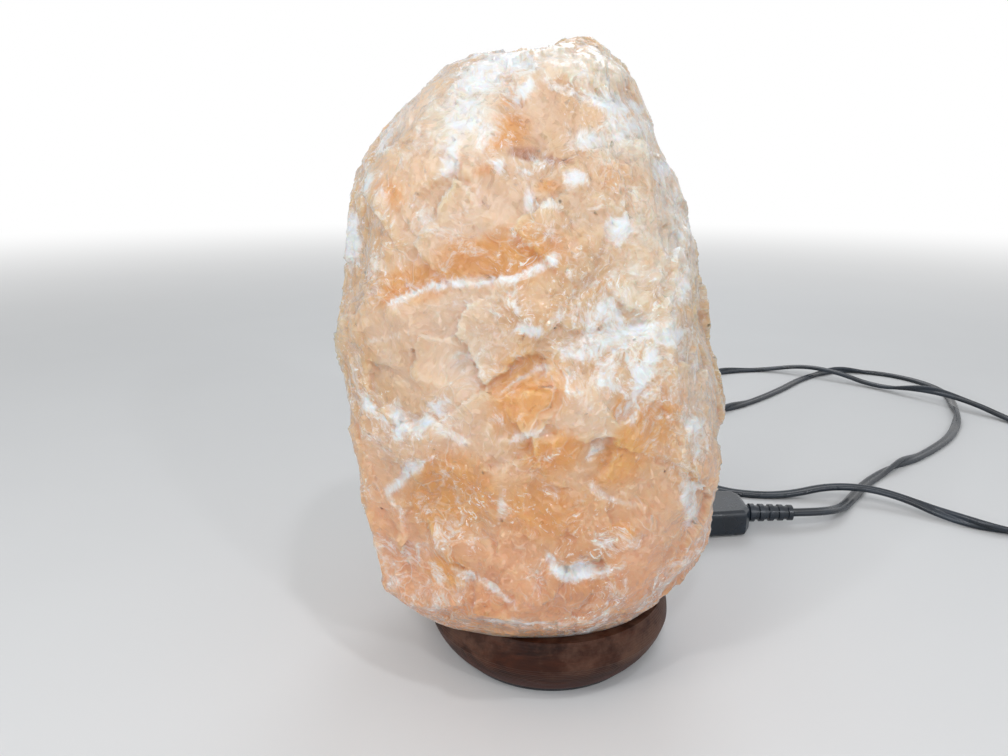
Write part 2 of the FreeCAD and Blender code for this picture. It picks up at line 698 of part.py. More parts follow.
def make_bulb():
    tip, cap, radius = D.bulb_tip, D.cap_radius, D.bulb_radius
    wall, middle, top = D.glass_wall, D.bulb_middle, D.bulb_top
    node("bulb_contact", turned("bulb_contact", [
        (0.0, tip), (2.3, tip + 0.8, 3.7), (2.3, tip + 1.6), (0.0, tip + 1.6)]))
    node("bulb_insulator", turned("bulb_insulator", [
        (2.3, tip + 1.6), (2.3, tip + 1.0), (5.9, tip + 4.0), (5.9, tip + 4.8), (0.0, tip + 4.8),
        (0.0, tip + 1.6)]))
    node("bulb_cap", turned("bulb_cap", [
        (5.9, tip + 4.0), (cap, tip + 4.9), (cap, D.cap_top), (cap - 0.4, D.cap_top),
        (cap - 0.4, tip + 5.3), (5.9, tip + 4.8)]))
    neck = D.cap_top - 3.0
    node("bulb_glass", turned("bulb_glass", [
        (cap - 0.45, neck), (cap - 0.45, D.cap_top + 1.0), (radius, middle, -40.0),
        (0.6, top, 14.5), (0.0, top), (0.0, top - wall), (0.6, top - wall),
        (radius - wall, middle, -13.8),
        (cap - 0.45 - wall, D.cap_top + 1.0, 40.0), (cap - 0.45 - wall, neck)]))
    node("bulb_stem", turned("bulb_stem", [
        (0.0, neck), (cap - 0.5 - wall, neck), (2.0, neck + 7.0), (1.4, middle - 12.0),
        (0.0, middle - 12.0)]))
    wires = [swept(f"lead_wire{side + 1}",
                   [(0.8 * side, 0, middle.value - 12.0), (0.8 * side, 0, middle.value - 9.0),
                    (6.0 * side, 0, middle.value + 2.0)], 0.3, largest=4.0)
             for side in (-1, 1)]
    node("bulb_leads", group("bulb_leads", wires))
    node("bulb_filament", swept("bulb_filament", [
        (-6.09, 0, middle.value + 2.19), (-2.6, 1.6, middle.value + 4.4),
        (2.6, 1.6, middle.value + 4.4), (6.09, 0, middle.value + 2.19)], 0.2, largest=3.0))


# ---- flex, switch and plug -------------------------------------------------------------------------

ON_TABLE = 2.95  # height of the flex's middle where it lies on the table
OVER = 9.3  # height of its middle where it lies over itself

# From the bush in the base's groove, round behind the crystal, to the switch.
LAMP_ROUTE = [
    (30.0, 51.96, 4.6), (38.0, 65.82, 4.6), (46, 88, ON_TABLE), (38, 116, ON_TABLE),
    (10, 132, ON_TABLE), (-26, 138, ON_TABLE), (-60, 152, ON_TABLE), (-84, 182, ON_TABLE),
    (-88, 222, ON_TABLE), (-76, 256, ON_TABLE), (-56, 282, 3.6), (-33, 292, 7), (-14, 292, 7),
]
# From the switch: the far loop, over the near loop twice, out to the right and back, over itself
# again near the plug, behind the crystal, and round the near loop to the plug.
PLUG_ROUTE = [
    (50, 292, 7), (69, 292, 7), (94, 302, 3.6), (120, 326, ON_TABLE), (146, 358, ON_TABLE),
    (180, 382, ON_TABLE), (216, 388, ON_TABLE), (243, 377, OVER), (265, 358, OVER),
    (288, 334, ON_TABLE), (314, 302, OVER), (330, 276, OVER), (346, 248, ON_TABLE),
    (355, 210, ON_TABLE), (348, 170, ON_TABLE), (325, 134, ON_TABLE), (293, 104, ON_TABLE),
    (264, 83, ON_TABLE), (238, 78, ON_TABLE), (216, 90, ON_TABLE), (196, 113, OVER),
    (172, 123, OVER), (140, 122, ON_TABLE), (112, 126, ON_TABLE), (87, 142, ON_TABLE),
    (70, 170, ON_TABLE), (72, 206, ON_TABLE), (96, 238, ON_TABLE), (132, 262, ON_TABLE),
    (170, 290, ON_TABLE), (206, 324, ON_TABLE), (238, 360, ON_TABLE), (270, 382, ON_TABLE),
    (306, 380, ON_TABLE), (332, 354, ON_TABLE), (338, 318, ON_TABLE), (322, 284, ON_TABLE),
    (300, 250, ON_TABLE), (272, 218, ON_TABLE), (242, 188, ON_TABLE), (214, 161, ON_TABLE),
    (196, 138, ON_TABLE), (183, 117, ON_TABLE), (167, 98, 4.2), (146, 91, 7), (130, 91, 7),
]


def make_flex():
    node("flex_lamp_side", swept("flex_lamp_side", LAMP_ROUTE, D.flex_width / 2))
    node("flex_plug_side", swept("flex_plug_side", PLUG_ROUTE, D.flex_width / 2))


def capsule(length, width, corner):
    """A switch housing's outline seen from above, its corners rounded."""
    half, side = length / 2, width / 2
    return [(half - corner, 0 - side), (half, corner - side, corner), (half, side - corner),
            (half - corner, side, corner), (corner - half, side), (0 - half, side - corner, corner),
            (0 - half, corner - side), (corner - half, 0 - side, corner)]


def make_switch():
    """An in-line rocker switch on the flex, hidden behind the crystal."""
    x, y, wall = D.switch_x, D.switch_y, D.switch_wall
    low, part, top = D.switch_floor, D.switch_part, D.switch_top
    outside = (D.switch_length, D.switch_width, D.switch_corner)
    inside = (D.switch_length - wall * 2, D.switch_width - wall * 2, D.switch_corner - wall)
    screw_at = [(-22.0, 7.6), (22.0, -7.6)]

    tray = put(padded("tray_blank", "XY_Plane", capsule(*outside), part - low,
                      lift=low), x=x, y=y)
    tray_hollow = put(padded("tray_hollow", "XY_Plane", capsule(*inside), part, lift=low + wall),
                      x=x, y=y)
    posts = [cylinder(f"tray_post{i}", 2.6, part - low - wall, x=x + sx, y=y + sy, z=low + wall)
             for i, (sx, sy) in enumerate(screw_at)]
    holes = [cylinder(f"tray_hole{i}", 1.25, 20.0, x=x + sx, y=y + sy, z=-2.0)
             for i, (sx, sy) in enumerate(screw_at)]
    seats = [cylinder(f"tray_seat{i}", 2.3, 1.2, x=x + sx, y=y + sy, z=low - 0.1)
             for i, (sx, sy) in enumerate(screw_at)]
    tray_shell = fuse("tray_shell", cut("tray_open", tray, tray_hollow), *posts)
    node("switch_lower", cut("switch_lower", tray_shell, *holes, *seats))

    lid = put(padded("lid_blank", "XY_Plane", capsule(*outside), top - part,
                     lift=part), x=x, y=y)
    softened(lid, 2.2, lambda edge: all(v.Z > top.value - 0.01 for v in edge.Vertexes))
    lid_hollow = put(padded("lid_hollow", "XY_Plane", capsule(*inside), top - part - wall,
                            lift=part), x=x, y=y)
    window = block("rocker_window", D.rocker_length + 1.8, D.rocker_width + 0.8, 20.0, x=x, y=y,
                   z=part)
    ears = [block(f"pivot_ear{side + 1}", 5.0, 2.4, top - wall - 9.5, x=x,
                  y=y + (D.rocker_width / 2 + 1.6) * side, z=9.5) for side in (-1, 1)]
    pillars = [cylinder(f"lid_post{i}", 2.6, top - part - wall, x=x + sx, y=y + sy, z=part)
               for i, (sx, sy) in enumerate(screw_at)]
    pin_hole = cylinder("pin_hole", D.pivot_radius + 0.08, D.rocker_width + 8.0, x=x,
                        y=y + D.rocker_width / 2 + 4.0, z=D.pivot_height, turn=90, axis=V(1, 0, 0))
    pilots = [cylinder(f"lid_pilot{i}", 1.0, 5.0, x=x + sx, y=y + sy, z=part)
              for i, (sx, sy) in enumerate(screw_at)]
    lid_shell = fuse("lid_shell", cut("lid_open", lid, lid_hollow, window), *ears, *pillars)
    node("switch_upper", cut("switch_upper", lid_shell, pin_hole, *pilots))

    screws = []
    for i, (sx, sy) in enumerate(screw_at):
        screw = turned(f"switch_screw{i}", [
            (0.0, low + 0.1), (2.0, low + 0.1), (2.0, low + 1.1), (1.0, low + 1.1),
            (1.0, part + 4.5), (0.0, part + 4.8)])
        screws.append(put(screw, x=x + sx, y=y + sy))
    node("switch_screws", group("switch_screws", screws))

    half = D.rocker_length / 2
    body = put(padded("rocker_blank", "XZ_Plane", [
        (0 - half, 11.2), (-4.0, 11.2), (-3.0, 10.0), (3.0, 10.0), (4.0, 11.2), (half, 11.2),
        (half, top + 1.5), (0 - half, top + 1.5, -60.0)], D.rocker_width, middle=True), x=x, y=y)
    softened(body, 0.6, lambda edge: all(v.Z > top.value for v in edge.Vertexes))
    pin_bore = cylinder("pin_bore", D.pivot_radius, D.rocker_width + 4.0, x=x,
                        y=y + D.rocker_width / 2 + 2.0, z=D.pivot_height, turn=90, axis=V(1, 0, 0))
    node("switch_rocker", cut("switch_rocker", body, pin_bore))
    node("rocker_pin", cylinder("rocker_pin", D.pivot_radius, D.rocker_width + 4.8, x=x,
                                y=y + D.rocker_width / 2 + 2.4, z=D.pivot_height, turn=90,
                                axis=V(1, 0, 0)))

    floor = low + wall
    contacts = [block(f"fixed_contact{i}", 6.0, 5.0, 5.6, x=x + sx, y=y, z=floor)
                for i, sx in enumerate((-14.0, 14.0))]
    node("switch_contacts", group("switch_contacts", contacts))
    node("switch_spring", put(padded("switch_spring", "XZ_Plane", [
        (-10.9, floor), (-1.6, floor), (0.0, 9.4), (1.6, floor), (10.9, floor),
        (10.9, floor + 0.4), (2.2, floor + 0.4), (0.3, 9.7), (-0.3, 9.7), (-2.2, floor + 0.4),
        (-10.9, floor + 0.4)], 4.0, middle=True), x=x, y=y))
    inner_end = D.switch_length / 2 - wall
    leads = [cylinder("neutral_lead", D.core_radius, D.switch_length - wall * 2, x=x - inner_end,
                      y=y - 3.7, z=floor + D.core_radius, turn=90, axis=V(0, 1, 0))]
    for i, near in enumerate((x - inner_end, x + 17.0)):
        leads.append(cylinder(f"live_lead{i}", D.core_radius, inner_end - 17.0, x=near, y=y,
                              z=floor + 2.8, turn=90, axis=V(0, 1, 0)))
    node("switch_leads", group("switch_leads", leads))


def make_plug():
    """A flat moulded plug lying on the table with its pins towards the crystal."""
    x, y, z, thick, length = D.plug_x, D.plug_y, D.plug_height, D.plug_thick, D.plug_length
    wide = D.plug_half_width
    moulding = padded("plug_moulding", "XY_Plane", [
        (0.0, 0 - wide), (7.0, 0 - wide), (20.0, 3.0 - wide, -30.0), (length - 3.0, 4.6 - wide),
        (length, 9.5 - wide), (length, wide - 9.5), (length - 3.0, wide - 4.6),
        (20.0, wide - 3.0), (7.0, wide, -30.0), (0.0, wide)], thick, middle=True)
    softened(moulding, 3.0, lambda edge: abs(abs(edge.Vertexes[0].Z) - thick.value / 2) < 0.01
             and all(abs(v.Z - edge.Vertexes[0].Z) < 0.01 for v in edge.Vertexes)
             and not all(v.X < 0.01 for v in edge.Vertexes))
    put(moulding, x=x, y=y, z=z)
    pocket = block("bridge_pocket", 14.0, 26.0, 8.0, x=x + 7.0, y=y, z=z - 4.0)
    node("plug_body", cut("plug_body", moulding, pocket))

    insert = block("bridge_blank", 14.0, 26.0, 8.0, x=x + 7.0, y=y, z=z - 4.0)
    bores = [cylinder(f"bridge_bore{side + 1}", D.pin_radius - 0.5, 12.0, x=x - 1.0,
                      y=y + D.pin_spread * side, z=z, turn=90, axis=V(0, 1, 0)) for side in (-1, 1)]
    node("plug_bridge", cut("plug_bridge", insert, *bores))

    pins, sleeves = [], []
    sleeve = 10.0
    for side in (-1, 1):
        pin = turned(f"plug_pin{side + 1}", [
            (0.0, -11.0), (D.pin_radius - 0.5, -11.0), (D.pin_radius - 0.5, sleeve),
            (D.pin_radius, sleeve), (D.pin_radius, D.pin_length - 1.8),
            (0.3, D.pin_length, 2.2), (0.0, D.pin_length)])
        jacket = turned(f"pin_sleeve{side + 1}", [
            (D.pin_radius - 0.5, 0.0), (D.pin_radius, 0.0), (D.pin_radius, sleeve),
            (D.pin_radius - 0.5, sleeve)])
        for piece, kept in ((pin, pins), (jacket, sleeves)):
            kept.append(put(piece, x=x, y=y + D.pin_spread * side, z=z, turn=-90, axis=V(0, 1, 0)))
    node("plug_pins", group("plug_pins", pins))
    node("pin_sleeves", group("pin_sleeves", sleeves))

    ribs = 5
    outline = [(0.0, 0.0), (4.3, 0.0)]
    for rib in range(ribs):
        low = D.rib_pitch * rib + 1.4
        ring = D.rib_radius - 0.16 * rib
        outline += [(3.7 - 0.08 * rib, low), (3.7 - 0.08 * rib, low + 0.5), (ring, low + 0.8),
                    (ring, low + 3.0), (3.7 - 0.08 * rib, low + 3.3)]
    outline = outline[:2] + [point for point in outline[3:]]
    outline += [(0.0, D.relief_length)]
    outline[-2] = (3.3, D.relief_length)
    relief = turned("strain_relief", outline)
    node("strain_relief", put(relief, x=x + length, y=y, z=z, turn=90, axis=V(0, 1, 0)))


# ---- build, check and write ------------------------------------------------------------------------

make_crystal()
make_base()
make_felt_ring()
make_base_screws()
make_plate()
make_clips()
make_nipple()
make_holder()
make_exit()
make_bulb()
make_flex()
make_switch()
make_plug()
doc.recompute()

failed = [thing.Label for thing in doc.Objects if "Invalid" in thing.State or "Error" in thing.State]
if failed:
    raise RuntimeError(f"these failed: {failed}")
for piece in nodes:
    shape = piece.Shape
    if shape.isNull() or not shape.isValid() or not shape.Solids:
        raise RuntimeError(f"{piece.Label} has no valid solid")
    shape.exportStep(f"parts/{piece.Label}.step")
    box = shape.BoundBox
    print(f"{piece.Label}: {len(shape.Solids)} solid, {shape.Volume / 1000:.2f} cm3, "
          f"x {box.XMin:.1f}..{box.XMax:.1f}, y {box.YMin:.1f}..{box.YMax:.1f}, "
          f"z {box.ZMin:.1f}..{box.ZMax:.1f}")
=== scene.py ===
"""The looks of a salt crystal lamp: rock salt, turned wooden base, twin flex, switch and plug."""

import math

import bmesh
import bpy
import numpy as np
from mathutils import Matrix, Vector
from mathutils.noise import noise_vector, seed_set


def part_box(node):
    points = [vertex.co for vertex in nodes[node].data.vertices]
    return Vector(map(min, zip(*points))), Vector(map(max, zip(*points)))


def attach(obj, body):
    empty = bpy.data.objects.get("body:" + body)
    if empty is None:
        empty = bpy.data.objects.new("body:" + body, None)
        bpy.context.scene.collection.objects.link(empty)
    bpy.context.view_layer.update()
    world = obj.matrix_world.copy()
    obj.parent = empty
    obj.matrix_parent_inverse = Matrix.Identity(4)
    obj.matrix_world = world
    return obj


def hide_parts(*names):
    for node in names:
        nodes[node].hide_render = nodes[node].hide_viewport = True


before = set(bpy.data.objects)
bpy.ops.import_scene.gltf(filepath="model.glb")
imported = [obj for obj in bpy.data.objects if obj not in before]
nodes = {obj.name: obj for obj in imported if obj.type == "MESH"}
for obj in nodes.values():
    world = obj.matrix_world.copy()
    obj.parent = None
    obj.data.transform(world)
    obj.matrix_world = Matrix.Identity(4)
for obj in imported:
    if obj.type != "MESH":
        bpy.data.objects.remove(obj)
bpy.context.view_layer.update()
MM = 0.001

# ---- the camera that took the photograph -----------------------------------------------------------

CAMERA_AT = (-0.017, -0.2626, 0.180)
CAMERA_DOWN = 16.0  # degrees below level
LENS, SENSOR = 27.04, 36.0
PICTURE = (1008, 756)


def picture_spot(points):
    """Where points, an (n, 3) array in metres, fall in the photograph, in its pixels."""
    tilt = math.radians(CAMERA_DOWN)
    forward = np.array([0.0, math.cos(tilt), -math.sin(tilt)])
    up = np.array([0.0, math.sin(tilt), math.cos(tilt)])
    away = points - np.array(CAMERA_AT)
    depth = away @ forward
    scale = PICTURE[0] * LENS / SENSOR / depth
    return np.stack([PICTURE[0] / 2 + away[:, 0] * scale, PICTURE[1] / 2 - (away @ up) * scale], 1)


# ---- materials: helpers ----------------------------------------------------------------------------

SMOOTH = {"interpolation_type": "SMOOTHSTEP"}  # a range that eases in and out
COLOURS = {"data_type": "RGBA"}  # a mix of two colours, its inputs 6 and 7, its output 2


def colour(code):
    """An sRGB hex colour as the linear values that shaders take."""
    parts = [int(code[i:i + 2], 16) / 255 for i in (1, 3, 5)]
    return [c / 12.92 if c <= 0.04045 else ((c + 0.055) / 1.055) ** 2.4 for c in parts] + [1.0]


def add(tree, kind, inputs=None, out=0, **settings):
    """Adds a node with its settings, and its inputs set to values or linked to other nodes' outputs.
    Its kind is Blender's name for it, where ShaderNode may be left off. Returns one of its outputs,
    by number or name, or all of them where out is None."""
    if not kind.startswith(("Geometry", "NodeGroup")):
        kind = "ShaderNode" + kind
    made = tree.nodes.new(kind)
    for key, value in settings.items():
        setattr(made, key, value)
    for key, value in (inputs or {}).items():
        socket = made.inputs[key]
        if isinstance(value, bpy.types.NodeSocket):
            tree.links.new(value, socket)
        else:
            socket.default_value = value
    return made.outputs if out is None else made.outputs[out]


def finish(name, shader):
    """A material with one Principled shader, its constants set on the shader's own sockets."""
    made = bpy.data.materials.new(name)
    made.use_nodes = True
    principled = made.node_tree.nodes["Principled BSDF"]
    for key, value in shader.items():
        principled.inputs[key].default_value = value
    return made, made.node_tree, principled


# ---- materials: rock salt --------------------------------------------------------------------------


def crazed(tree, place):
    """The coordinates that the fracture cells are laid out in, bent so that no edge runs straight.
    The shape and the material share them, so white lines fall on the real edges."""
    push = add(tree, "TexNoise", {"Vector": place, "Scale": 45.0, "Detail": 3.0,
                                  "Roughness": 0.55}, "Color")
    push = add(tree, "VectorMath", {0: push, 1: (0.5, 0.5, 0.5)}, operation="SUBTRACT")
    return add(tree, "VectorMath", {0: push, 1: (0.018, 0.018, 0.018), 2: place},
               operation="MULTIPLY_ADD")


# Fracture faces per metre at two sizes, 13 and 5 mm across, and how steeply each size leans.
CELLS = ((78.0, 0.085), (190.0, 0.10))

# The salt's patterns: how many to a metre, detail, roughness and distortion, and whether a pattern
# lies on the bent coordinates. Cloud (42 mm) and mottle (19 mm) are the clouding inside. Wisps
# (29 mm) and flecks (7 mm) are white bruises, sparkle (2.4 mm) is small white flecks painted as
# glints, a painted highlight, and ridge (4 mm) is the grit of the broken face. The real grit is finer
# than that, and is drawn as coarse as it needs to show.
SALT_PATTERNS = {
    "mottle": (52.0, 9.0, 0.68, 0.5, False), "cloud": (24.0, 5.0, 0.6, 0.0, False),
    "wisp": (34.0, 10.0, 0.72, 1.4, True), "fleck": (150.0, 7.0, 0.75, 0.8, True),
    "painted_sparkle": (420.0, 6.0, 0.7, 1.2, True), "ridge": (230.0, 8.0, 0.7, 0.0, True)}

# White lines along the edges of the fracture faces, partly bruised white and partly painted glints,
# for each size of face: how wide, how white, and how many stretches to a metre come and go.
EDGE_LINES = ((0.030, 0.34, 37.0), (0.085, 0.22, 66.0))

# Cleavage: how many small cells to a metre, 3.3 and 1.2 mm across, how far most of them lean and how
# far a few do. Each leans its own way, so single cells catch the light.
CLEAVAGE = ((300.0, 0.30, 0.9), (820.0, 0.45, 1.5))

# Painted zones: how ragged the edge is, and the levels at which the zone begins and is full.
SALT_ZONES = {"frost_and_glint": (1.7, 0.30, 1.05), "clear": (0.8, 0.10, 0.75), "rust": (1.0, 0.35, 0.85),
              "cream": (0.9, 0.35, 0.85)}


def rock_salt():
    """Unlit pink rock salt, broken and unpolished: clear orange body, milky peach, frosty white where
    it is bruised, white fracture lines, small glinting cleavage faces and a few dark grains. Some of
    the white is painted highlight: glints painted on some zones, sparkle flecks, and part of the
    fracture lines and ledge lips. Light sinks in by up to two centimetres, and the skin shines as if
    wet, with dusty edges."""
    made, tree, shader = finish("rock_salt", {
        "IOR": 1.544, "Subsurface Weight": 0.9, "Subsurface Radius": (1.0, 0.62, 0.4),
        "Subsurface Scale": 0.020, "Coat Weight": 0.6, "Coat Roughness": 0.06, "Coat IOR": 1.5,
        "Sheen Weight": 0.35, "Sheen Roughness": 0.35})
    place = add(tree, "Attribute", out="Vector", attribute_name="rest")
    bent = crazed(tree, place)
    pattern = {}
    for name, (scale, detail, rough, distortion, on_bent) in SALT_PATTERNS.items():
        pattern[name] = add(tree, "TexNoise", {
            "Vector": bent if on_bent else place, "Scale": scale, "Detail": detail,
            "Roughness": rough, "Distortion": distortion}, "Fac")
    zone = {}
    for name, (ragged, low, high) in SALT_ZONES.items():
        level = add(tree, "Attribute", out="Fac", attribute_name=name)
        for torn in ("mottle", "wisp", "fleck"):
            level = add(tree, "Math", {0: pattern[torn], 1: ragged, 2: level},
                        operation="MULTIPLY_ADD")
        zone[name] = add(tree, "MapRange", {0: level, 1: low + ragged * 1.5,
                                            2: high + ragged * 1.5}, **SMOOTH)
    height = add(tree, "SeparateXYZ", {0: place}, 2)
    low_down = add(tree, "MapRange", {0: height, 1: 0.120, 2: 0.035, 4: 0.85}, **SMOOTH)

    # The body: pale above, deeper orange below, then the zones over it.
    share = add(tree, "MapRange", {0: pattern["cloud"], 1: 0.36, 2: 0.64}, **SMOOTH)
    body = add(tree, "Mix", {0: share, 6: colour("#D8BBA0"), 7: colour("#CDA57A")}, 2, **COLOURS)
    share = add(tree, "MapRange", {0: pattern["mottle"], 1: 0.35, 2: 0.68}, **SMOOTH)
    deep = add(tree, "Mix", {0: share, 6: colour("#D99868"), 7: colour("#C57B48")}, 2, **COLOURS)
    body = add(tree, "Mix", {0: low_down, 6: body, 7: deep}, 2, **COLOURS)
    for name, part, tone in (("clear", 0.9, "#D29148"), ("rust", 0.8, "#A96B45"),
                             ("cream", 0.8, "#DED3C1")):
        share = add(tree, "Math", {0: zone[name], 1: part}, operation="MULTIPLY")
        body = add(tree, "Mix", {0: share, 6: body, 7: colour(tone)}, 2, **COLOURS)

    # White veils, from the wide milky ones to flecks a few millimetres long; the small flecks are
    # painted sparkle, a painted highlight.
    milky = add(tree, "MapRange", {0: pattern["wisp"], 1: 0.50, 2: 0.66, 4: 0.6}, **SMOOTH)
    fine = add(tree, "MapRange", {0: pattern["fleck"], 1: 0.38, 2: 0.58}, **SMOOTH)
    milky = add(tree, "Math", {0: milky, 1: fine}, operation="MULTIPLY")
    body = add(tree, "Mix", {0: milky, 6: body, 7: colour("#E6E0D8")}, 2, **COLOURS)
    cloudy = add(tree, "Math", {0: pattern["wisp"], 1: pattern["cloud"]}, operation="ADD")
    cloudy = add(tree, "MapRange", {0: cloudy, 1: 0.94, 2: 1.12, 4: 0.85}, **SMOOTH)
    # Painted sparkle: small white flecks that stand in for glints, a painted highlight.
    painted_sparkle = add(tree, "MapRange", {0: pattern["painted_sparkle"], 1: 0.56, 2: 0.64}, **SMOOTH)
    painted_sparkle = add(tree, "Math", {0: painted_sparkle, 1: cloudy}, operation="MULTIPLY")
    body = add(tree, "Mix", {0: painted_sparkle, 6: body, 7: colour("#F1F0EC")}, 2, **COLOURS)
    # A soft white halo round the frost zones, and round the zones painted as glints.
    halo = add(tree, "Attribute", out="Fac", attribute_name="frost_and_glint")
    halo = add(tree, "Math", {0: pattern["mottle"], 1: 0.5, 2: halo}, operation="MULTIPLY_ADD")
    halo = add(tree, "MapRange", {0: halo, 1: 0.62, 2: 1.35, 4: 0.6}, **SMOOTH)
    body = add(tree, "Mix", {0: halo, 6: body, 7: colour("#E3DFD8")}, 2, **COLOURS)
    # Frosty white on the frost zones; where those zones are painted glints, it is a painted highlight.
    bruise_and_glint = add(tree, "MapRange", {0: pattern["fleck"], 1: 0.30, 2: 0.62, 3: 0.35}, **SMOOTH)
    bruise_and_glint = add(tree, "Math", {0: zone["frost_and_glint"], 1: bruise_and_glint}, operation="MULTIPLY")
    frost_and_glint_white = add(tree, "Mix", {0: pattern["cloud"], 6: colour("#DBE0E2"), 7: colour("#EAEDED")}, 2,
                 **COLOURS)
    body = add(tree, "Mix", {0: bruise_and_glint, 6: body, 7: frost_and_glint_white}, 2, **COLOURS)

    # Each face of the fracture has its own tone; where two meet, the edge is painted white, partly as
    # a bruise and partly as a painted glint.
    lines = []
    for (scale, _), (wide, part, stretches) in zip(CELLS, EDGE_LINES):
        cell = add(tree, "TexVoronoi", {"Vector": bent, "Scale": scale}, "Color")
        tone = add(tree, "SeparateColor", {0: cell}, 2)
        tone = add(tree, "Mix", {0: tone, 6: colour("#8F6A52"), 7: colour("#FFFFFF")}, 2, **COLOURS)
        body = add(tree, "Mix", {0: 0.10, 6: body, 7: tone}, 2, blend_type="SOFT_LIGHT", **COLOURS)
        edge = add(tree, "TexVoronoi", {"Vector": bent, "Scale": scale}, "Distance",
                   feature="DISTANCE_TO_EDGE")
        edge = add(tree, "MapRange", {0: edge, 1: wide, 2: 0.0}, **SMOOTH)
        some = add(tree, "TexNoise", {"Vector": place, "Scale": stretches, "Detail": 4.0,
                                      "Roughness": 0.6}, "Fac")
        some = add(tree, "MapRange", {0: some, 1: 0.52, 2: 0.66}, **SMOOTH)
        lines.append(add(tree, "Math", {0: edge, 1: some}, operation="MULTIPLY"))
        share = add(tree, "Math", {0: lines[-1], 1: part}, operation="MULTIPLY")
        body = add(tree, "Mix", {0: share, 6: body, 7: colour("#F0E8E0")}, 2, **COLOURS)

    # Dark grains of other minerals, in one cell of 25 mm out of ten.
    specks = add(tree, "TexVoronoi", {"Vector": bent, "Scale": 40.0}, None)
    dot = add(tree, "MapRange", {0: specks["Distance"], 1: 0.040, 2: 0.015}, **SMOOTH)
    few = add(tree, "SeparateColor", {0: specks["Color"]})
    few = add(tree, "MapRange", {0: few, 1: 0.90, 2: 0.91}, **SMOOTH)
    share = add(tree, "Math", {0: dot, 1: few}, operation="MULTIPLY")
    body = add(tree, "Mix", {0: share, 6: body, 7: colour("#6B5A4A")}, 2, **COLOURS)
    tree.links.new(body, shader.inputs["Base Color"])

    gloss = add(tree, "MapRange", {0: zone["frost_and_glint"], 3: 0.12, 4: 0.34})
    for name, value in ((pattern["mottle"], 0.18), (zone["clear"], -0.06)):
        gloss = add(tree, "Math", {0: name, 1: value, 2: gloss}, operation="MULTIPLY_ADD")
    tree.links.new(gloss, shader.inputs["Roughness"])

    normal = add(tree, "NewGeometry", out="Normal")
    for scale, lean, most in CLEAVAGE:
        cell = add(tree, "TexVoronoi", {"Vector": bent, "Scale": scale}, "Color")
        tipped = add(tree, "VectorMath", {0: cell, 1: (0.5, 0.5, 0.5)}, operation="SUBTRACT")
        pick = add(tree, "SeparateColor", {0: cell}, 2)
        steep = add(tree, "MapRange", {0: pick, 1: 0.72, 2: 0.95, 3: lean, 4: most}, **SMOOTH)
        tipped = add(tree, "VectorMath", {0: tipped, "Scale": steep}, operation="SCALE")
        normal = add(tree, "VectorMath", {0: tipped, 1: normal})
    normal = add(tree, "VectorMath", {0: normal}, operation="NORMALIZE")
    normal = add(tree, "Bump", {"Height": pattern["ridge"], "Distance": 0.0005, "Normal": normal})
    edges = add(tree, "Math", {0: lines[0], 1: lines[1]}, operation="ADD")
    normal = add(tree, "Bump", {"Height": edges, "Distance": 0.0002, "Normal": normal})
    for socket in ("Normal", "Coat Normal"):
        tree.links.new(normal, shader.inputs[socket])
    return made


# ---- materials: wood, felt, metals, plastics -------------------------------------------------------

# Small knots and worm holes in the base: place in metres, radius in mm.
KNOTS = [((0.0235, -0.0372, 0.0205), 1.3), ((0.0270, -0.0355, 0.0190), 1.0),
         ((0.0135, -0.0385, 0.0090), 1.0), ((-0.031, -0.032, 0.0165), 0.9),
         ((-0.040, 0.021, 0.0150), 1.2), ((0.030, 0.034, 0.0120), 1.1)]


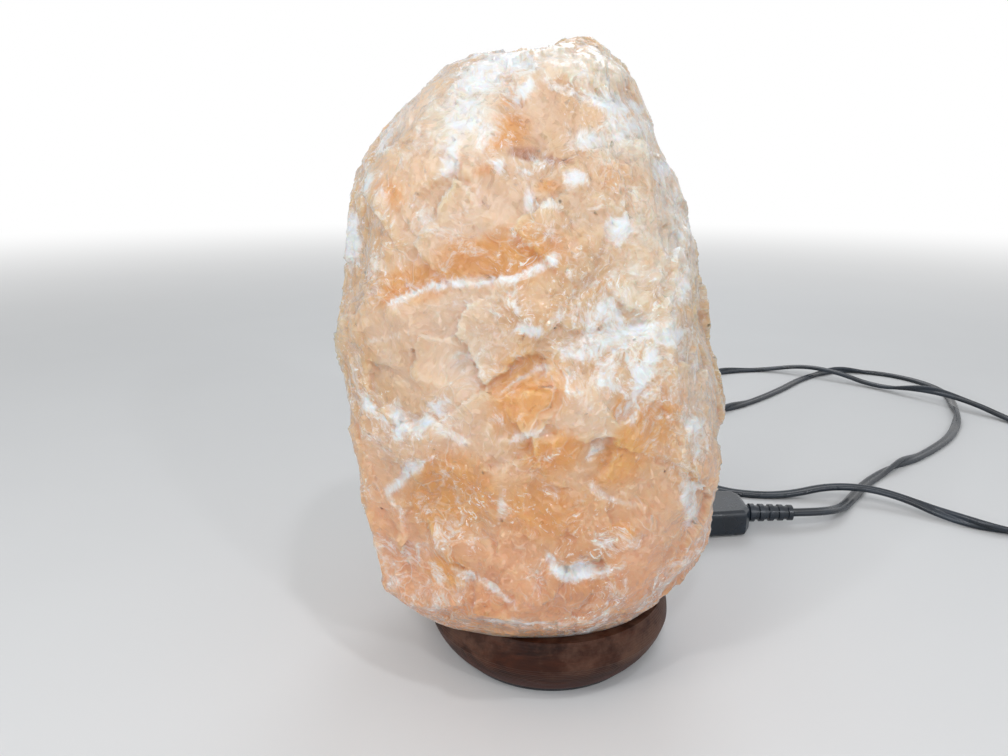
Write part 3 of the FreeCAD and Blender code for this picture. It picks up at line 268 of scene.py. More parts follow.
def stained_wood():
    """Turned wood under a thin dark stain: grain across the base, fine turning rings, paler greyish
    patches over the upper part, a redder foot and small dark knots. Fibres are 25 mm long and 4 mm
    wide, in bands 17 mm wide, coarser than real ones so that they show. The turning rings are 1 mm
    apart."""
    made, tree, shader = finish("stained_wood", {"IOR": 1.40, "Specular IOR Level": 0.22})
    place = add(tree, "TexCoord", out="Object")
    height = add(tree, "SeparateXYZ", {0: place}, 2)
    along = add(tree, "Mapping", {"Vector": place, "Scale": (40.0, 260.0, 260.0)})
    fibre = add(tree, "TexNoise", {"Vector": along, "Scale": 1.0, "Detail": 6.0,
                                   "Roughness": 0.65, "Distortion": 0.6}, "Fac")
    wide = add(tree, "Mapping", {"Vector": place, "Scale": (14.0, 60.0, 60.0)})
    band = add(tree, "TexNoise", {"Vector": wide, "Scale": 1.0, "Detail": 3.0, "Roughness": 0.5,
                                  "Distortion": 1.2}, "Fac")
    blotches = add(tree, "TexNoise", {"Vector": place, "Scale": 38.0, "Detail": 6.0,
                                  "Roughness": 0.7}, "Fac")
    share = add(tree, "MapRange", {0: fibre, 1: 0.3, 2: 0.7}, **SMOOTH)
    wood = add(tree, "Mix", {0: share, 6: colour("#1C0B06"), 7: colour("#472415")}, 2, **COLOURS)
    share = add(tree, "MapRange", {0: band, 1: 0.42, 2: 0.62, 4: 0.6}, **SMOOTH)
    wood = add(tree, "Mix", {0: share, 6: wood, 7: colour("#32180F")}, 2, **COLOURS)
    # Paler greyish patches over the upper part of the base, growing in from 9 mm up to 16 mm and
    # covering the top.
    shoulder = add(tree, "MapRange", {0: height, 1: 0.009, 2: 0.016, 4: 0.75}, **SMOOTH)
    paler_top = add(tree, "MapRange", {0: blotches, 1: 0.44, 2: 0.62}, **SMOOTH)
    paler_top = add(tree, "Math", {0: paler_top, 1: shoulder}, operation="MULTIPLY")
    wood = add(tree, "Mix", {0: paler_top, 6: wood, 7: colour("#5F4437")}, 2, **COLOURS)
    foot = add(tree, "MapRange", {0: height, 1: 0.0105, 2: 0.006, 4: 0.8}, **SMOOTH)
    redder = add(tree, "Mix", {0: fibre, 6: colour("#2E1108"), 7: colour("#4A2013")}, 2, **COLOURS)
    wood = add(tree, "Mix", {0: foot, 6: wood, 7: redder}, 2, **COLOURS)
    hollow = 0.0
    for spot, size in KNOTS:
        gap = add(tree, "VectorMath", {0: place, 1: spot}, "Value", operation="DISTANCE")
        hole = add(tree, "MapRange", {0: gap, 1: size * MM, 2: size * MM * 0.4}, **SMOOTH)
        hollow = add(tree, "Math", {0: hollow, 1: hole}, operation="MAXIMUM")
    wood = add(tree, "Mix", {0: hollow, 6: wood, 7: colour("#0E0706")}, 2, **COLOURS)
    tree.links.new(wood, shader.inputs["Base Color"])
    level = add(tree, "Math", {0: blotches, 1: 0.25, 2: 0.38}, operation="MULTIPLY_ADD")
    tree.links.new(level, shader.inputs["Roughness"])
    rings = add(tree, "TexWave", {"Vector": place, "Scale": 320.0, "Distortion": 0.4,
                                  "Detail": 2.0}, "Fac", wave_type="BANDS", bands_direction="Z")
    normal = add(tree, "Bump", {"Height": rings, "Distance": 0.00005})
    normal = add(tree, "Bump", {"Height": fibre, "Distance": 0.00035, "Normal": normal})
    sunk = add(tree, "Math", {0: hollow, 1: -1.0}, operation="MULTIPLY")
    normal = add(tree, "Bump", {"Height": sunk, "Distance": 0.0012, "Normal": normal})
    tree.links.new(normal, shader.inputs["Normal"])
    return made


def plastic(name, base, other, rough, depth=0.00006, scale=900.0):
    """Moulded plastic: two close tones, smears of handling 18 mm wide, and a moulded grain of about
    1 mm, which is coarser than the real one so that it shows."""
    made, tree, shader = finish(name, {"IOR": 1.5})
    place = add(tree, "TexCoord", out="Object")
    smear = add(tree, "TexNoise", {"Vector": place, "Scale": 55.0, "Detail": 5.0,
                                   "Roughness": 0.6}, "Fac")
    fine = add(tree, "TexNoise", {"Vector": place, "Scale": scale, "Detail": 3.0,
                                  "Roughness": 0.6}, "Fac")
    share = add(tree, "MapRange", {0: smear, 1: 0.3, 2: 0.7}, **SMOOTH)
    tone = add(tree, "Mix", {0: share, 6: colour(base), 7: colour(other)}, 2, **COLOURS)
    tree.links.new(tone, shader.inputs["Base Color"])
    level = add(tree, "Math", {0: smear, 1: 0.22, 2: rough - 0.11}, operation="MULTIPLY_ADD")
    tree.links.new(level, shader.inputs["Roughness"])
    tree.links.new(add(tree, "Bump", {"Height": fine, "Distance": depth}), shader.inputs["Normal"])
    return made


def metal(name, base, other, rough):
    """Stamped metal: slight tarnish in patches of 4 mm, scratches drawn 0.3 mm apart and 4.5 mm long,
    and an uneven polish."""
    made, tree, shader = finish(name, {"Metallic": 1.0})
    place = add(tree, "TexCoord", out="Object")
    tarnish = add(tree, "TexNoise", {"Vector": place, "Scale": 260.0, "Detail": 6.0,
                                     "Roughness": 0.6}, "Fac")
    drawn = add(tree, "Mapping", {"Vector": place, "Scale": (3000.0, 3000.0, 220.0)})
    scratch = add(tree, "TexNoise", {"Vector": drawn, "Scale": 1.0, "Detail": 3.0,
                                     "Roughness": 0.5}, "Fac")
    share = add(tree, "MapRange", {0: tarnish, 1: 0.35, 2: 0.75}, **SMOOTH)
    tone = add(tree, "Mix", {0: share, 6: colour(base), 7: colour(other)}, 2, **COLOURS)
    tree.links.new(tone, shader.inputs["Base Color"])
    level = add(tree, "Math", {0: tarnish, 1: 0.25, 2: rough - 0.1}, operation="MULTIPLY_ADD")
    tree.links.new(level, shader.inputs["Roughness"])
    normal = add(tree, "Bump", {"Height": scratch, "Distance": 0.00002})
    tree.links.new(normal, shader.inputs["Normal"])
    return made


def felt():
    """Pressed black felt: matted fibres 0.7 mm apart, coarser than real ones so that they show, over
    a thickness that is cloudy every 8 mm."""
    made, tree, shader = finish("black_felt", {"Roughness": 0.95, "Sheen Weight": 0.4,
                                               "Sheen Roughness": 0.5})
    place = add(tree, "TexCoord", out="Object")
    fibre = add(tree, "TexNoise", {"Vector": place, "Scale": 1500.0, "Detail": 4.0,
                                   "Roughness": 0.7, "Distortion": 2.0}, "Fac")
    cloud = add(tree, "TexNoise", {"Vector": place, "Scale": 120.0, "Detail": 3.0,
                                   "Roughness": 0.55}, "Fac")
    share = add(tree, "Math", {0: fibre, 1: cloud}, operation="MULTIPLY")
    tone = add(tree, "Mix", {0: share, 6: colour("#0D0D0F"), 7: colour("#4A4A4E")}, 2, **COLOURS)
    tree.links.new(tone, shader.inputs["Base Color"])
    normal = add(tree, "Bump", {"Height": fibre, "Distance": 0.0003})
    tree.links.new(normal, shader.inputs["Normal"])
    return made


def glass(name, tint):
    """Thin blown glass: clear, with faint waves in the wall, 11 mm long."""
    made, tree, shader = finish(name, {"IOR": 1.5, "Transmission Weight": 1.0,
                                       "Base Color": colour(tint)})
    place = add(tree, "TexCoord", out="Object")
    wave = add(tree, "TexNoise", {"Vector": place, "Scale": 90.0, "Detail": 2.0,
                                  "Roughness": 0.55}, "Fac")
    level = add(tree, "Math", {0: wave, 1: 0.06}, operation="MULTIPLY")
    tree.links.new(level, shader.inputs["Roughness"])
    normal = add(tree, "Bump", {"Height": wave, "Distance": 0.0002})
    tree.links.new(normal, shader.inputs["Normal"])
    return made


# ---- the crystal's shape, in mm and degrees --------------------------------------------------------

NOISE_SEED = 1795574258  # fixes how torn edges wander, which otherwise follows the clock
seed_set(NOISE_SEED)
MIDDLE = np.array([-7.0, 0.0, 112.0])  # a point deep inside, from which the surface is measured
SQUARENESS = 2.25  # of each level section, where 2 is an oval
SKIN = 2.6  # how far the block stands out past its sections before facets cut it
# Large facets: how many, how deep they cut, how they lean, and how low the lowest is. Fracture plates
# on them: how many, how they lean, how deep they lie, and how far each is turned from its place.
FACETS, FACET_DEPTH, FACET_LEAN, LOWEST_FACET = 46, (0.6, 3.4), 0.22, -58.0
PLATES, PLATE_LEAN, PLATE_DEPTH, PLATE_SHIFT = 150, 16.0, 2.0, 14.0
GOLDEN_ANGLE = 137.508  # turned between one facet or plate and the next, it spreads them evenly
BORE_RADIUS, BORE_TOP, BORE_TIP = 22.0, 118.0, 127.0
BORE_RINGS = 9  # up the bore's wall
CONE_RADIUS, CONE_RISE = 9.0, 0.6  # a ring on the drill's cone, and what share of the way up it is
AROUND, RINGS = 440, 196  # points in each ring of the surface, and rings
PLATES_FADE = 0.12  # the share of the rings, from the foot up, over which plates and hollows begin
FAR_OUT, HALVINGS = 150.0, 24  # the search for the surface: its reach at first, and its steps
# Height, then how far left, right, front and back the crystal reaches there, in mm.
SECTIONS = np.array([
    (25.0, -54.0, 39.0, -38.0, 41.0), (32.0, -59.5, 44.0, -46.0, 49.0),
    (41.0, -68.0, 51.0, -53.0, 55.0), (52.0, -72.5, 56.5, -58.0, 60.0),
    (68.0, -73.5, 58.0, -61.0, 63.0), (86.0, -72.0, 59.5, -62.0, 64.0),
    (105.0, -72.0, 58.0, -61.5, 62.0), (125.0, -74.5, 54.5, -59.5, 60.0),
    (145.0, -74.0, 48.0, -56.5, 56.0), (165.0, -70.0, 41.0, -52.0, 51.0),
    (182.0, -61.5, 34.0, -46.5, 45.0), (196.0, -50.0, 27.5, -40.0, 38.0),
    (206.0, -38.0, 22.5, -32.0, 29.0), (212.0, -26.0, 18.0, -21.0, 17.0),
    (214.5, -4.0, 15.5, -12.0, 10.0), (218.0, 3.0, 11.0, -6.0, 5.0)])
# Struck hollows: azimuth, elevation, width and height in degrees, depth in mm.
HOLLOWS = [
    (-101.0, 12.0, 34.0, 11.0, 3.2), (-64.0, -19.0, 15.0, 19.0, 2.6),
    (-118.0, -33.0, 20.0, 12.0, 2.4), (-82.0, 50.0, 20.0, 13.0, 2.6),
    (-150.0, 28.0, 14.0, 24.0, 2.2), (-20.0, 20.0, 18.0, 24.0, 2.6),
    (80.0, 10.0, 30.0, 22.0, 3.4), (140.0, -20.0, 24.0, 18.0, 2.8)]


def section_at(height):
    """Left, right, front and back of the crystal at each height, on a smooth curve."""
    height = np.clip(height, SECTIONS[0, 0], SECTIONS[-1, 0])
    low = np.clip(np.searchsorted(SECTIONS[:, 0], height, side="right") - 1, 0,
                  len(SECTIONS) - 2)
    a, b = SECTIONS[low], SECTIONS[low + 1]
    before, after = SECTIONS[np.maximum(low - 1, 0)], SECTIONS[np.minimum(low + 2,
                                                                          len(SECTIONS) - 1)]
    span = (b[:, 0] - a[:, 0])[:, None]
    share = ((height - a[:, 0]) / span[:, 0])[:, None]
    slope_a = (b - before) / (b[:, :1] - before[:, :1]) * span
    slope_b = (after - a) / (after[:, :1] - a[:, :1]) * span
    cube, square = share**3, share**2
    curve = ((2 * cube - 3 * square + 1) * a + (cube - 2 * square + share) * slope_a
             + (3 * square - 2 * cube) * b + (cube - square) * slope_b)
    return curve[:, 1:].T


def beyond_sections(points):
    """How far outside the plain sections points are: negative inside."""
    left, right, front, back = section_at(points[:, 2])
    across, deep = (right - left) / 2, (back - front) / 2
    u = np.abs(points[:, 0] - (left + right) / 2) / across
    v = np.abs(points[:, 1] - (front + back) / 2) / deep
    side = ((u**SQUARENESS + v**SQUARENESS) ** (1 / SQUARENESS) - 1) * np.minimum(across, deep)
    return np.maximum(np.maximum(side - SKIN, points[:, 2] - SECTIONS[-1, 0]),
                      SECTIONS[0, 0] - points[:, 2])


def reach_along(ways, beyond):
    """The distance from MIDDLE to where beyond turns positive, for each unit direction."""
    low, high = np.zeros(len(ways)), np.full(len(ways), FAR_OUT)
    for _ in range(HALVINGS):
        middle = (low + high) / 2
        inside = beyond(MIDDLE + ways * middle[:, None]) < 0
        low, high = np.where(inside, middle, low), np.where(inside, high, middle)
    return (low + high) / 2


def ways_of(azimuth, elevation):
    """Unit directions from their azimuth and elevation."""
    turn, lift = np.radians(azimuth), np.radians(elevation)
    return np.stack([np.cos(lift) * np.cos(turn), np.cos(lift) * np.sin(turn), np.sin(lift)], -1)


def scatter(index, lane):
    """A number from 0 to 1 that looks random and is the same each time."""
    wave = math.sin(index * 12.9898 + lane * 78.233) * 43758.5453
    return wave - math.floor(wave)


def facet_planes():
    """The fracture faces, as unit normals and distances from MIDDLE."""
    normals, reaches = [], []
    for index in range(FACETS):
        lift = math.degrees(math.asin(1 - 2 * (index + 0.5) / FACETS))
        if lift < LOWEST_FACET:
            continue
        way = ways_of(np.array([index * GOLDEN_ANGLE]), np.array([lift]))
        spot = MIDDLE + way[0] * reach_along(way, beyond_sections)[0]
        steps = np.eye(3) * 0.5
        slope = beyond_sections(spot + steps) - beyond_sections(spot - steps)
        normal = slope / np.linalg.norm(slope)
        normal = normal + [FACET_LEAN * (scatter(index, lane) - 0.5) for lane in (1, 2, 3)]
        normal /= np.linalg.norm(normal)
        depth = FACET_DEPTH[0] + (FACET_DEPTH[1] - FACET_DEPTH[0]) * scatter(index, 4)
        normals.append(normal)
        reaches.append(normal @ (spot - MIDDLE) - depth)
    return np.array(normals), np.array(reaches)


NORMALS, REACHES = facet_planes()


def beyond_crystal(points):
    """How far outside the faceted block points are: negative inside."""
    faces = ((points - MIDDLE) @ NORMALS.T - REACHES).max(1)
    return np.maximum(beyond_sections(points), faces)


def hollow_depth(ways):
    """How far in the struck hollows put the surface; each is steeper below than above."""
    turn, lift = np.degrees(np.arctan2(ways[:, 1], ways[:, 0])), np.degrees(np.arcsin(ways[:, 2]))
    depth = np.zeros(len(ways))
    for azimuth, elevation, wide, high, deep in HOLLOWS:
        across = ((turn - azimuth + 180) % 360 - 180) * np.cos(np.radians(lift)) / wide
        up = (lift - elevation) / high
        up = np.where(up < 0, up * 1.6, up * 0.75)
        depth += deep * np.clip(1 - across**2 - up**2, 0, 1) ** 1.3
    return depth


def fracture_plates():
    """Plates of broken face: their middle directions, how each leans, and how far in each lies."""
    index = np.arange(PLATES)
    lift = np.degrees(np.arcsin(1 - 2 * (index + 0.5) / PLATES))
    turn = index * GOLDEN_ANGLE + PLATE_SHIFT * (np.array([scatter(i, 7) for i in index]) - 0.5)
    lean = [[PLATE_LEAN * (scatter(i, lane) - 0.5) for lane in (8, 9, 10)] for i in index]
    depth = [PLATE_DEPTH * scatter(i, 11) for i in index]
    return ways_of(turn, lift), np.array(lean), np.array(depth)


PLATE_MIDDLES, PLATE_LEANS, PLATE_DEPTHS = fracture_plates()


def plate_depth(ways):
    """How far in the plates put the surface; their edges wander."""
    torn = ways + [noise_vector(Vector(w) * 6.0) * 0.030 + noise_vector(Vector(w) * 22.0) * 0.014
                   for w in ways]
    nearest = (torn @ PLATE_MIDDLES.T).argmax(1)
    gap = ways - PLATE_MIDDLES[nearest]
    return PLATE_DEPTHS[nearest] + (PLATE_LEANS[nearest] * gap).sum(1)


def crystal_grid():
    """Rings of points from the foot to near the summit, and the summit."""
    azimuth = np.arange(AROUND) * 360.0 / AROUND
    turn = np.radians(azimuth)
    foot = SECTIONS[0, 0]
    low, high = np.full(AROUND, 5.0), np.full(AROUND, 80.0)
    for _ in range(HALVINGS):
        out = (low + high) / 2
        spots = np.stack([MIDDLE[0] + out * np.cos(turn), MIDDLE[1] + out * np.sin(turn),
                          np.full(AROUND, foot + 0.01)], 1)
        inside = beyond_crystal(spots) < 0
        low, high = np.where(inside, out, low), np.where(inside, high, out)
    lowest = np.degrees(np.arctan2(foot - MIDDLE[2], low))
    rings = [np.stack([MIDDLE[0] + low * np.cos(turn), MIDDLE[1] + low * np.sin(turn),
                       np.full(AROUND, foot)], 1)]
    for ring in range(1, RINGS):
        share = ring / RINGS
        ways = ways_of(azimuth, lowest + (90 - lowest) * share)
        cut = hollow_depth(ways) + plate_depth(ways)
        reach = reach_along(ways, beyond_crystal) - cut * min(1.0, share / PLATES_FADE)
        rings.append(MIDDLE + ways * reach[:, None])
    top = ways_of(np.zeros(1), np.full(1, 90.0))
    return rings, MIDDLE + top[0] * (reach_along(top, beyond_crystal)[0] - plate_depth(top)[0])


def bore_rings():
    """From the edge of the bore up its wall to the drill's cone."""
    turn = np.arange(AROUND) * math.tau / AROUND
    ring = np.stack([np.cos(turn), np.sin(turn), np.zeros(AROUND)], 1)
    heights = [SECTIONS[0, 0]] + list(np.linspace(SECTIONS[1, 0], BORE_TOP, BORE_RINGS))
    rings = [ring * BORE_RADIUS + [0, 0, z] for z in heights]
    rings.append(ring * CONE_RADIUS + [0, 0, BORE_TOP + (BORE_TIP - BORE_TOP) * CONE_RISE])
    return rings, np.array([0.0, 0.0, BORE_TIP])


# Zones of the crystal's front, each placed by its middle in the photograph's pixels, its half width
# and half height there, its turn in degrees (clockwise seen in the picture) and its strength.
# The frost zones also hold painted highlights: centre_glint, upper_glint, bird, bird_wing, lower_line,
# front_line and front_line_left paint glints white.
FROST_AND_GLINT_ZONES = {
    "everywhere": (530, 340, 400, 500, 0, 0.27), "top_veil": (505, 100, 110, 70, 0, 0.42),
    "right_veil": (650, 370, 75, 170, 0, 0.46), "ridge_veil": (600, 320, 90, 40, 10, 0.5),
    "cap_band": (500, 62, 44, 17, 0, 1.0), "cap_left": (472, 84, 32, 16, -25, 0.9),
    "shoulder": (462, 112, 28, 28, 0, 0.75), "pale_field": (415, 140, 22, 36, 15, 0.5),
    "upright_band": (450, 156, 11, 30, 5, 0.9), "left_notch": (386, 138, 10, 18, 30, 0.9),
    "left_rim_high": (367, 182, 9, 28, 15, 0.9), "left_rim_low": (350, 248, 9, 34, 5, 0.8),
    "streak_to_facet": (523, 93, 24, 6, -38, 1.0), "facet_foot": (610, 99, 46, 10, 10, 0.95),
    "right_high": (592, 137, 24, 13, -10, 0.9), "right_pink": (628, 126, 30, 14, 15, 0.75),
    "right_notch": (662, 166, 12, 14, 30, 1.0), "small_spot": (496, 162, 8, 7, 0, 1.0),
    "short_bar": (524, 170, 16, 5, -5, 0.8), "hook": (529, 198, 8, 20, 0, 0.9),
    "hook_foot": (550, 208, 18, 7, 10, 0.8), "island": (577, 178, 16, 11, 25, 0.9),
    "bloom": (616, 230, 15, 13, 20, 1.0), "right_flank": (683, 286, 15, 22, 10, 0.9),
    "ledge_left": (420, 292, 24, 11, -15, 0.6), "ledge_middle": (470, 283, 38, 10, 0, 0.75),
    "ledge_right": (533, 264, 22, 8, -25, 0.85), "chip": (534, 334, 18, 7, 0, 0.9),
    "white_band": (628, 335, 52, 17, -5, 0.9), "band_left": (584, 352, 26, 9, 0, 0.8),
    "band_right": (662, 341, 20, 14, 0, 0.9), "diagonal_one": (644, 374, 8, 36, 18, 0.95),
    "diagonal_two": (606, 372, 12, 20, 15, 0.7), "diagonal_three": (594, 448, 12, 32, 35, 0.6),
    "right_field": (697, 408, 20, 60, 0, 0.62), "right_bright": (696, 421, 10, 10, 0, 1.0),
    "right_lower": (690, 502, 11, 30, 5, 0.75), "bird": (405, 478, 9, 32, 42, 1.0),
    "bird_wing": (392, 500, 6, 16, -10, 0.8), "left_pale": (394, 404, 11, 26, 0, 0.55),
    "centre_glint": (500, 500, 8, 34, 5, 0.65), "upper_glint": (530, 437, 34, 6, -8, 0.7),
    "lower_line": (614, 494, 36, 6, 18, 0.75), "front_line": (576, 570, 34, 6, 5, 1.0),
    "front_line_left": (550, 562, 10, 6, 30, 0.9), "foot_pale": (510, 622, 42, 7, 10, 0.65),
    "left_foot": (398, 582, 12, 14, 40, 0.7), "left_dots": (362, 404, 8, 10, 0, 0.8),
    "plate_edge": (412, 340, 5, 30, -25, 0.5)}
CLEAR_ZONES = {
    "upper_patch": (503, 130, 30, 18, -10, 1.0), "upper_trail": (505, 100, 18, 12, -30, 0.6),
    "left_patch": (395, 192, 18, 16, 0, 0.65), "smooth_hollow": (490, 258, 72, 26, -12, 1.0),
    "hollow_left": (415, 282, 46, 19, -12, 1.0), "small_patch": (548, 187, 14, 9, 0, 0.7),
    "right_patch": (615, 172, 24, 20, 0, 0.6), "mid_right": (606, 280, 14, 8, 0, 0.6),
    "nick": (480, 168, 12, 9, 0, 0.6), "centre_patch": (528, 396, 46, 38, -40, 0.9),
    "stripe_one": (620, 402, 9, 18, 20, 1.0), "stripe_two": (640, 440, 25, 58, 42, 1.0),
    "low_left": (449, 493, 44, 42, 0, 1.0), "low_centre": (556, 454, 36, 22, 0, 0.9),
    "low_right": (629, 529, 15, 13, 0, 0.9), "low_tan": (447, 572, 24, 20, 0, 0.7),
    "low_middle": (540, 510, 60, 40, 0, 0.6), "far_right": (700, 350, 10, 16, 0, 0.5)}
RUST_ZONES = {
    "upper_bar": (521, 151, 24, 9, -5, 0.9), "upper_tail": (562, 157, 20, 6, 15, 0.9),
    "left_smear": (388, 184, 12, 12, 0, 0.45), "low_right": (660, 585, 36, 14, -22, 0.55),
    "foot": (556, 614, 14, 7, 0, 0.6), "foot_left": (486, 603, 34, 10, 12, 0.45),
    "right_smear": (612, 176, 18, 14, 0, 0.4)}
CREAM_ZONES = {
    "top_facet": (590, 66, 52, 28, 12, 1.0), "right_veil": (690, 440, 22, 60, 0, 0.55),
    "mid_veil": (640, 240, 50, 40, 0, 0.35), "pale_plate": (398, 338, 26, 26, 0, 0.45),
    "pale_field": (412, 140, 26, 34, 0, 0.55), "right_side": (652, 270, 62, 130, 0, 0.75),
    "upper_right": (628, 150, 46, 50, 0, 0.7), "upper_left": (462, 112, 62, 52, -30, 0.85),
    "top_veil": (560, 60, 60, 30, 0, 0.8)}
SMOOTH_ZONES = {
    "smooth_hollow": (478, 262, 66, 24, -12, 1.0), "pale_facet": (440, 395, 52, 46, 0, 0.8),
    "low_left": (449, 493, 34, 32, 0, 0.9), "stripe_two": (640, 440, 18, 46, 42, 0.6)}


def torn_by(points):
    """How far, in the photograph's pixels, the edge of a zone wanders at each point, points in
    metres: widely every 24 mm and less every 8 mm."""
    drift = np.array([noise_vector(Vector(p) * 42.0) * 10.0 + noise_vector(Vector(p) * 130.0) * 6.0
                      for p in points])
    return drift[:, :2]


# Steps in the front of the crystal: each runs through places in the photograph's pixels, left to
# right. The face above it is cut back by a depth in mm, and comes out again over a height in pixels.
LEDGES = {
    "long_shelf": ([(376, 303), (400, 296), (430, 285), (455, 282), (480, 281), (512, 275),
                    (530, 264), (548, 256), (566, 251)], 2.3, 40),
    "facet_shelf": ([(535, 66), (556, 84), (590, 96), (640, 106)], 1.8, 34),
    "upper_shelf": ([(498, 150), (520, 160), (548, 157), (580, 166)], 1.0, 20),
    "diagonal": ([(560, 250), (600, 226), (628, 196), (652, 168), (672, 150)], 0.9, 26),
    "band_shelf": ([(560, 352), (590, 336), (630, 330), (672, 318)], 1.6, 22),
    "plate": ([(384, 436), (402, 424), (430, 420), (452, 432), (480, 446)], 1.5, 30),
    "centre": ([(488, 404), (512, 384), (540, 368), (566, 362)], 1.3, 22),
    "bird": ([(388, 508), (396, 488), (408, 474), (432, 464)], 1.6, 18),
    "stripe": ([(596, 486), (618, 456), (640, 428), (668, 392)], 1.0, 18),
    "middle_shelf": ([(582, 486), (606, 494), (630, 500), (652, 502)], 1.4, 18),
    "front_shelf": ([(536, 558), (552, 566), (575, 573), (608, 570)], 2.0, 20),
    "low_shelf": ([(440, 566), (470, 572), (500, 590), (530, 612)], 1.4, 24),
    "left_shelf": ([(346, 352), (366, 340), (392, 336), (416, 330)], 1.2, 24)}


# In the photograph's pixels: how far a ledge's white lip reaches above and below its line, and how
# far from its ends a ledge dies away. Then the share of its depth that is cut.
LIP_ABOVE, LIP_BELOW, LEDGE_END = 4.0, 17.0, 14
LEDGE_SHARE = 0.6


def ledges_at(points, outward):
    """How deep, in mm, the ledges cut back the crystal's front at each point, and how white their lips
    are there: partly bruised white, partly a painted glint."""
    spots = picture_spot(points) + torn_by(points) * 0.45
    to_eye = np.array(CAMERA_AT) - points
    to_eye /= np.linalg.norm(to_eye, axis=1)[:, None]
    seen = np.clip((outward * to_eye).sum(1) * 5.0 - 0.4, 0, 1)
    depth, lip = np.zeros(len(points)), np.zeros(len(points))
    for line, deep, reach in LEDGES.values():
        across, down = np.array(line, float).T
        above = np.interp(spots[:, 0], across, down) - spots[:, 1]
        ends = np.minimum(spots[:, 0] - across[0], across[-1] - spots[:, 0])
        ends = np.clip(ends / LEDGE_END, 0, 1)
        level = np.where(above > 0, np.clip(1 - above / reach, 0, 1), 0.0) ** 1.2
        depth = np.maximum(depth, deep * level * ends)
        # The white lip along each ledge: partly a bruise, partly a painted glint.
        white = np.where(above > 0, 1.2 - above / LIP_ABOVE, 1.1 + above / LIP_BELOW)
        white = np.clip(white, 0, 1) * ends
        lip = np.maximum(lip, white * min(deep / 2.0, 0.85))
    return depth * seen * LEDGE_SHARE, lip * seen


# In metres: half widths of the patches that the photograph doesn't show, half sizes of the egg that
# they lie on, and what a pixel of the photograph covers on the crystal.
BEHIND_SIZES = (0.0025, 0.0115)
EGG = [0.062, 0.060, 0.100]
PIXEL = 0.0004


def zone_levels(points, outward, zones, seed, patches, level_behind):
    """The level of one kind of zone at each point, points in metres: from the photograph in front,
    and from scattered patches of the same kind behind."""
    spots = picture_spot(points) + torn_by(points)
    to_eye = np.array(CAMERA_AT) - points
    to_eye /= np.linalg.norm(to_eye, axis=1)[:, None]
    seen = np.clip((outward * to_eye).sum(1) * 4.0 + 0.25, 0, 1)
    front = np.zeros(len(points))
    for across, down, wide, high, turn, strength in zones.values():
        angle = math.radians(turn)
        dx, dy = spots[:, 0] - across, spots[:, 1] - down
        u = (dx * math.cos(angle) + dy * math.sin(angle)) / wide
        v = (-dx * math.sin(angle) + dy * math.cos(angle)) / high
        level = np.clip(1.25 - np.sqrt(u**2 + v**2) * 0.8, 0, 1) * strength
        front = np.maximum(front, level)
    behind = np.full(len(points), level_behind)
    steady = np.random.default_rng(seed)
    wander = torn_by(points)[:, [0, 1, 0]] * PIXEL
    for _ in range(patches):
        way, lie = steady.normal(size=(2, 3))
        way /= np.linalg.norm(way)
        lie -= way * (lie @ way)
        lie /= np.linalg.norm(lie)
        off = points + wander - (MIDDLE * MM + way * EGG)
        off -= np.outer(off @ lie, lie) * steady.uniform(0.3, 0.8)
        gap = np.linalg.norm(off, axis=1) / steady.uniform(*BEHIND_SIZES)
        behind = np.maximum(behind, np.clip(1.2 - gap * 0.8, 0, 1) * steady.uniform(0.4, 1.0))
    return front * seen + behind * (1 - seen)


# Rings in the face round the bore, as shares of the way in; and the lowest rings of the outside, over
# which fracture and ledges fade in.
UNDER_RINGS = (0.12, 0.3, 0.55, 0.8)
FADE_RINGS = 4
# For each kind of zone: its zones in front, the seed and number of its patches behind, and its level
# between them.
ZONES = {"frost_and_glint": (FROST_AND_GLINT_ZONES, 3, 110, 0.3), "clear": (CLEAR_ZONES, 5, 70, 0.0),
         "rust": (RUST_ZONES, 7, 14, 0.0), "cream": (CREAM_ZONES, 9, 40, 0.1),
         "smooth": (SMOOTH_ZONES, 11, 20, 0.0)}


def crystal_mesh():
    """The crystal with its bore, as one closed mesh in metres, with its zones as attributes."""
    rings, summit = crystal_grid()
    inner, tip = bore_rings()
    foot, edge = rings[0], inner[0]
    under = [foot + (edge - foot) * share for share in UNDER_RINGS]
    stack = rings[::-1] + under + inner
    points = np.concatenate([summit[None]] + stack + [tip[None]]) * MM
    faces = []
    ring = np.arange(AROUND)
    after = (ring + 1) % AROUND
    for index in range(len(stack) - 1):
        a, b = 1 + index * AROUND, 1 + (index + 1) * AROUND
        faces += np.stack([a + ring, b + ring, b + after, a + after], 1).tolist()
    last = 1 + (len(stack) - 1) * AROUND
    faces += [[0, 1 + i, 1 + (i + 1) % AROUND] for i in range(AROUND)]
    faces += [[len(points) - 1, last + (i + 1) % AROUND, last + i] for i in range(AROUND)]
    mesh = bpy.data.meshes.new("crystal")
    mesh.from_pydata(points.tolist(), [], faces)
    mesh.update()
    outward = np.zeros(len(points) * 3)
    mesh.vertex_normals.foreach_get("vector", outward)
    outward = outward.reshape(-1, 3)
    outside = np.zeros(len(points))
    outside[:1 + len(rings) * AROUND] = 1.0
    for index in range(FADE_RINGS):
        start = 1 + (len(rings) - 1 - index) * AROUND
        outside[start:start + AROUND] = index / FADE_RINGS
    cut, lip = ledges_at(points, outward)
    levels = {"outside": outside, "cut": cut * outside}
    for name, zones in ZONES.items():
        levels[name] = zone_levels(points, outward, *zones)
    # The ledge lips, bruise and painted glint, join the frost zones.
    levels["frost_and_glint"] = np.maximum(levels["frost_and_glint"], lip)
    for name, level in levels.items():
        attribute = mesh.attributes.new(name, "FLOAT", "POINT")
        attribute.data.foreach_set("value", level.astype(np.float32))
    return mesh


STEPS = 12.0  # how many times the broken face steps back and out again over the crystal


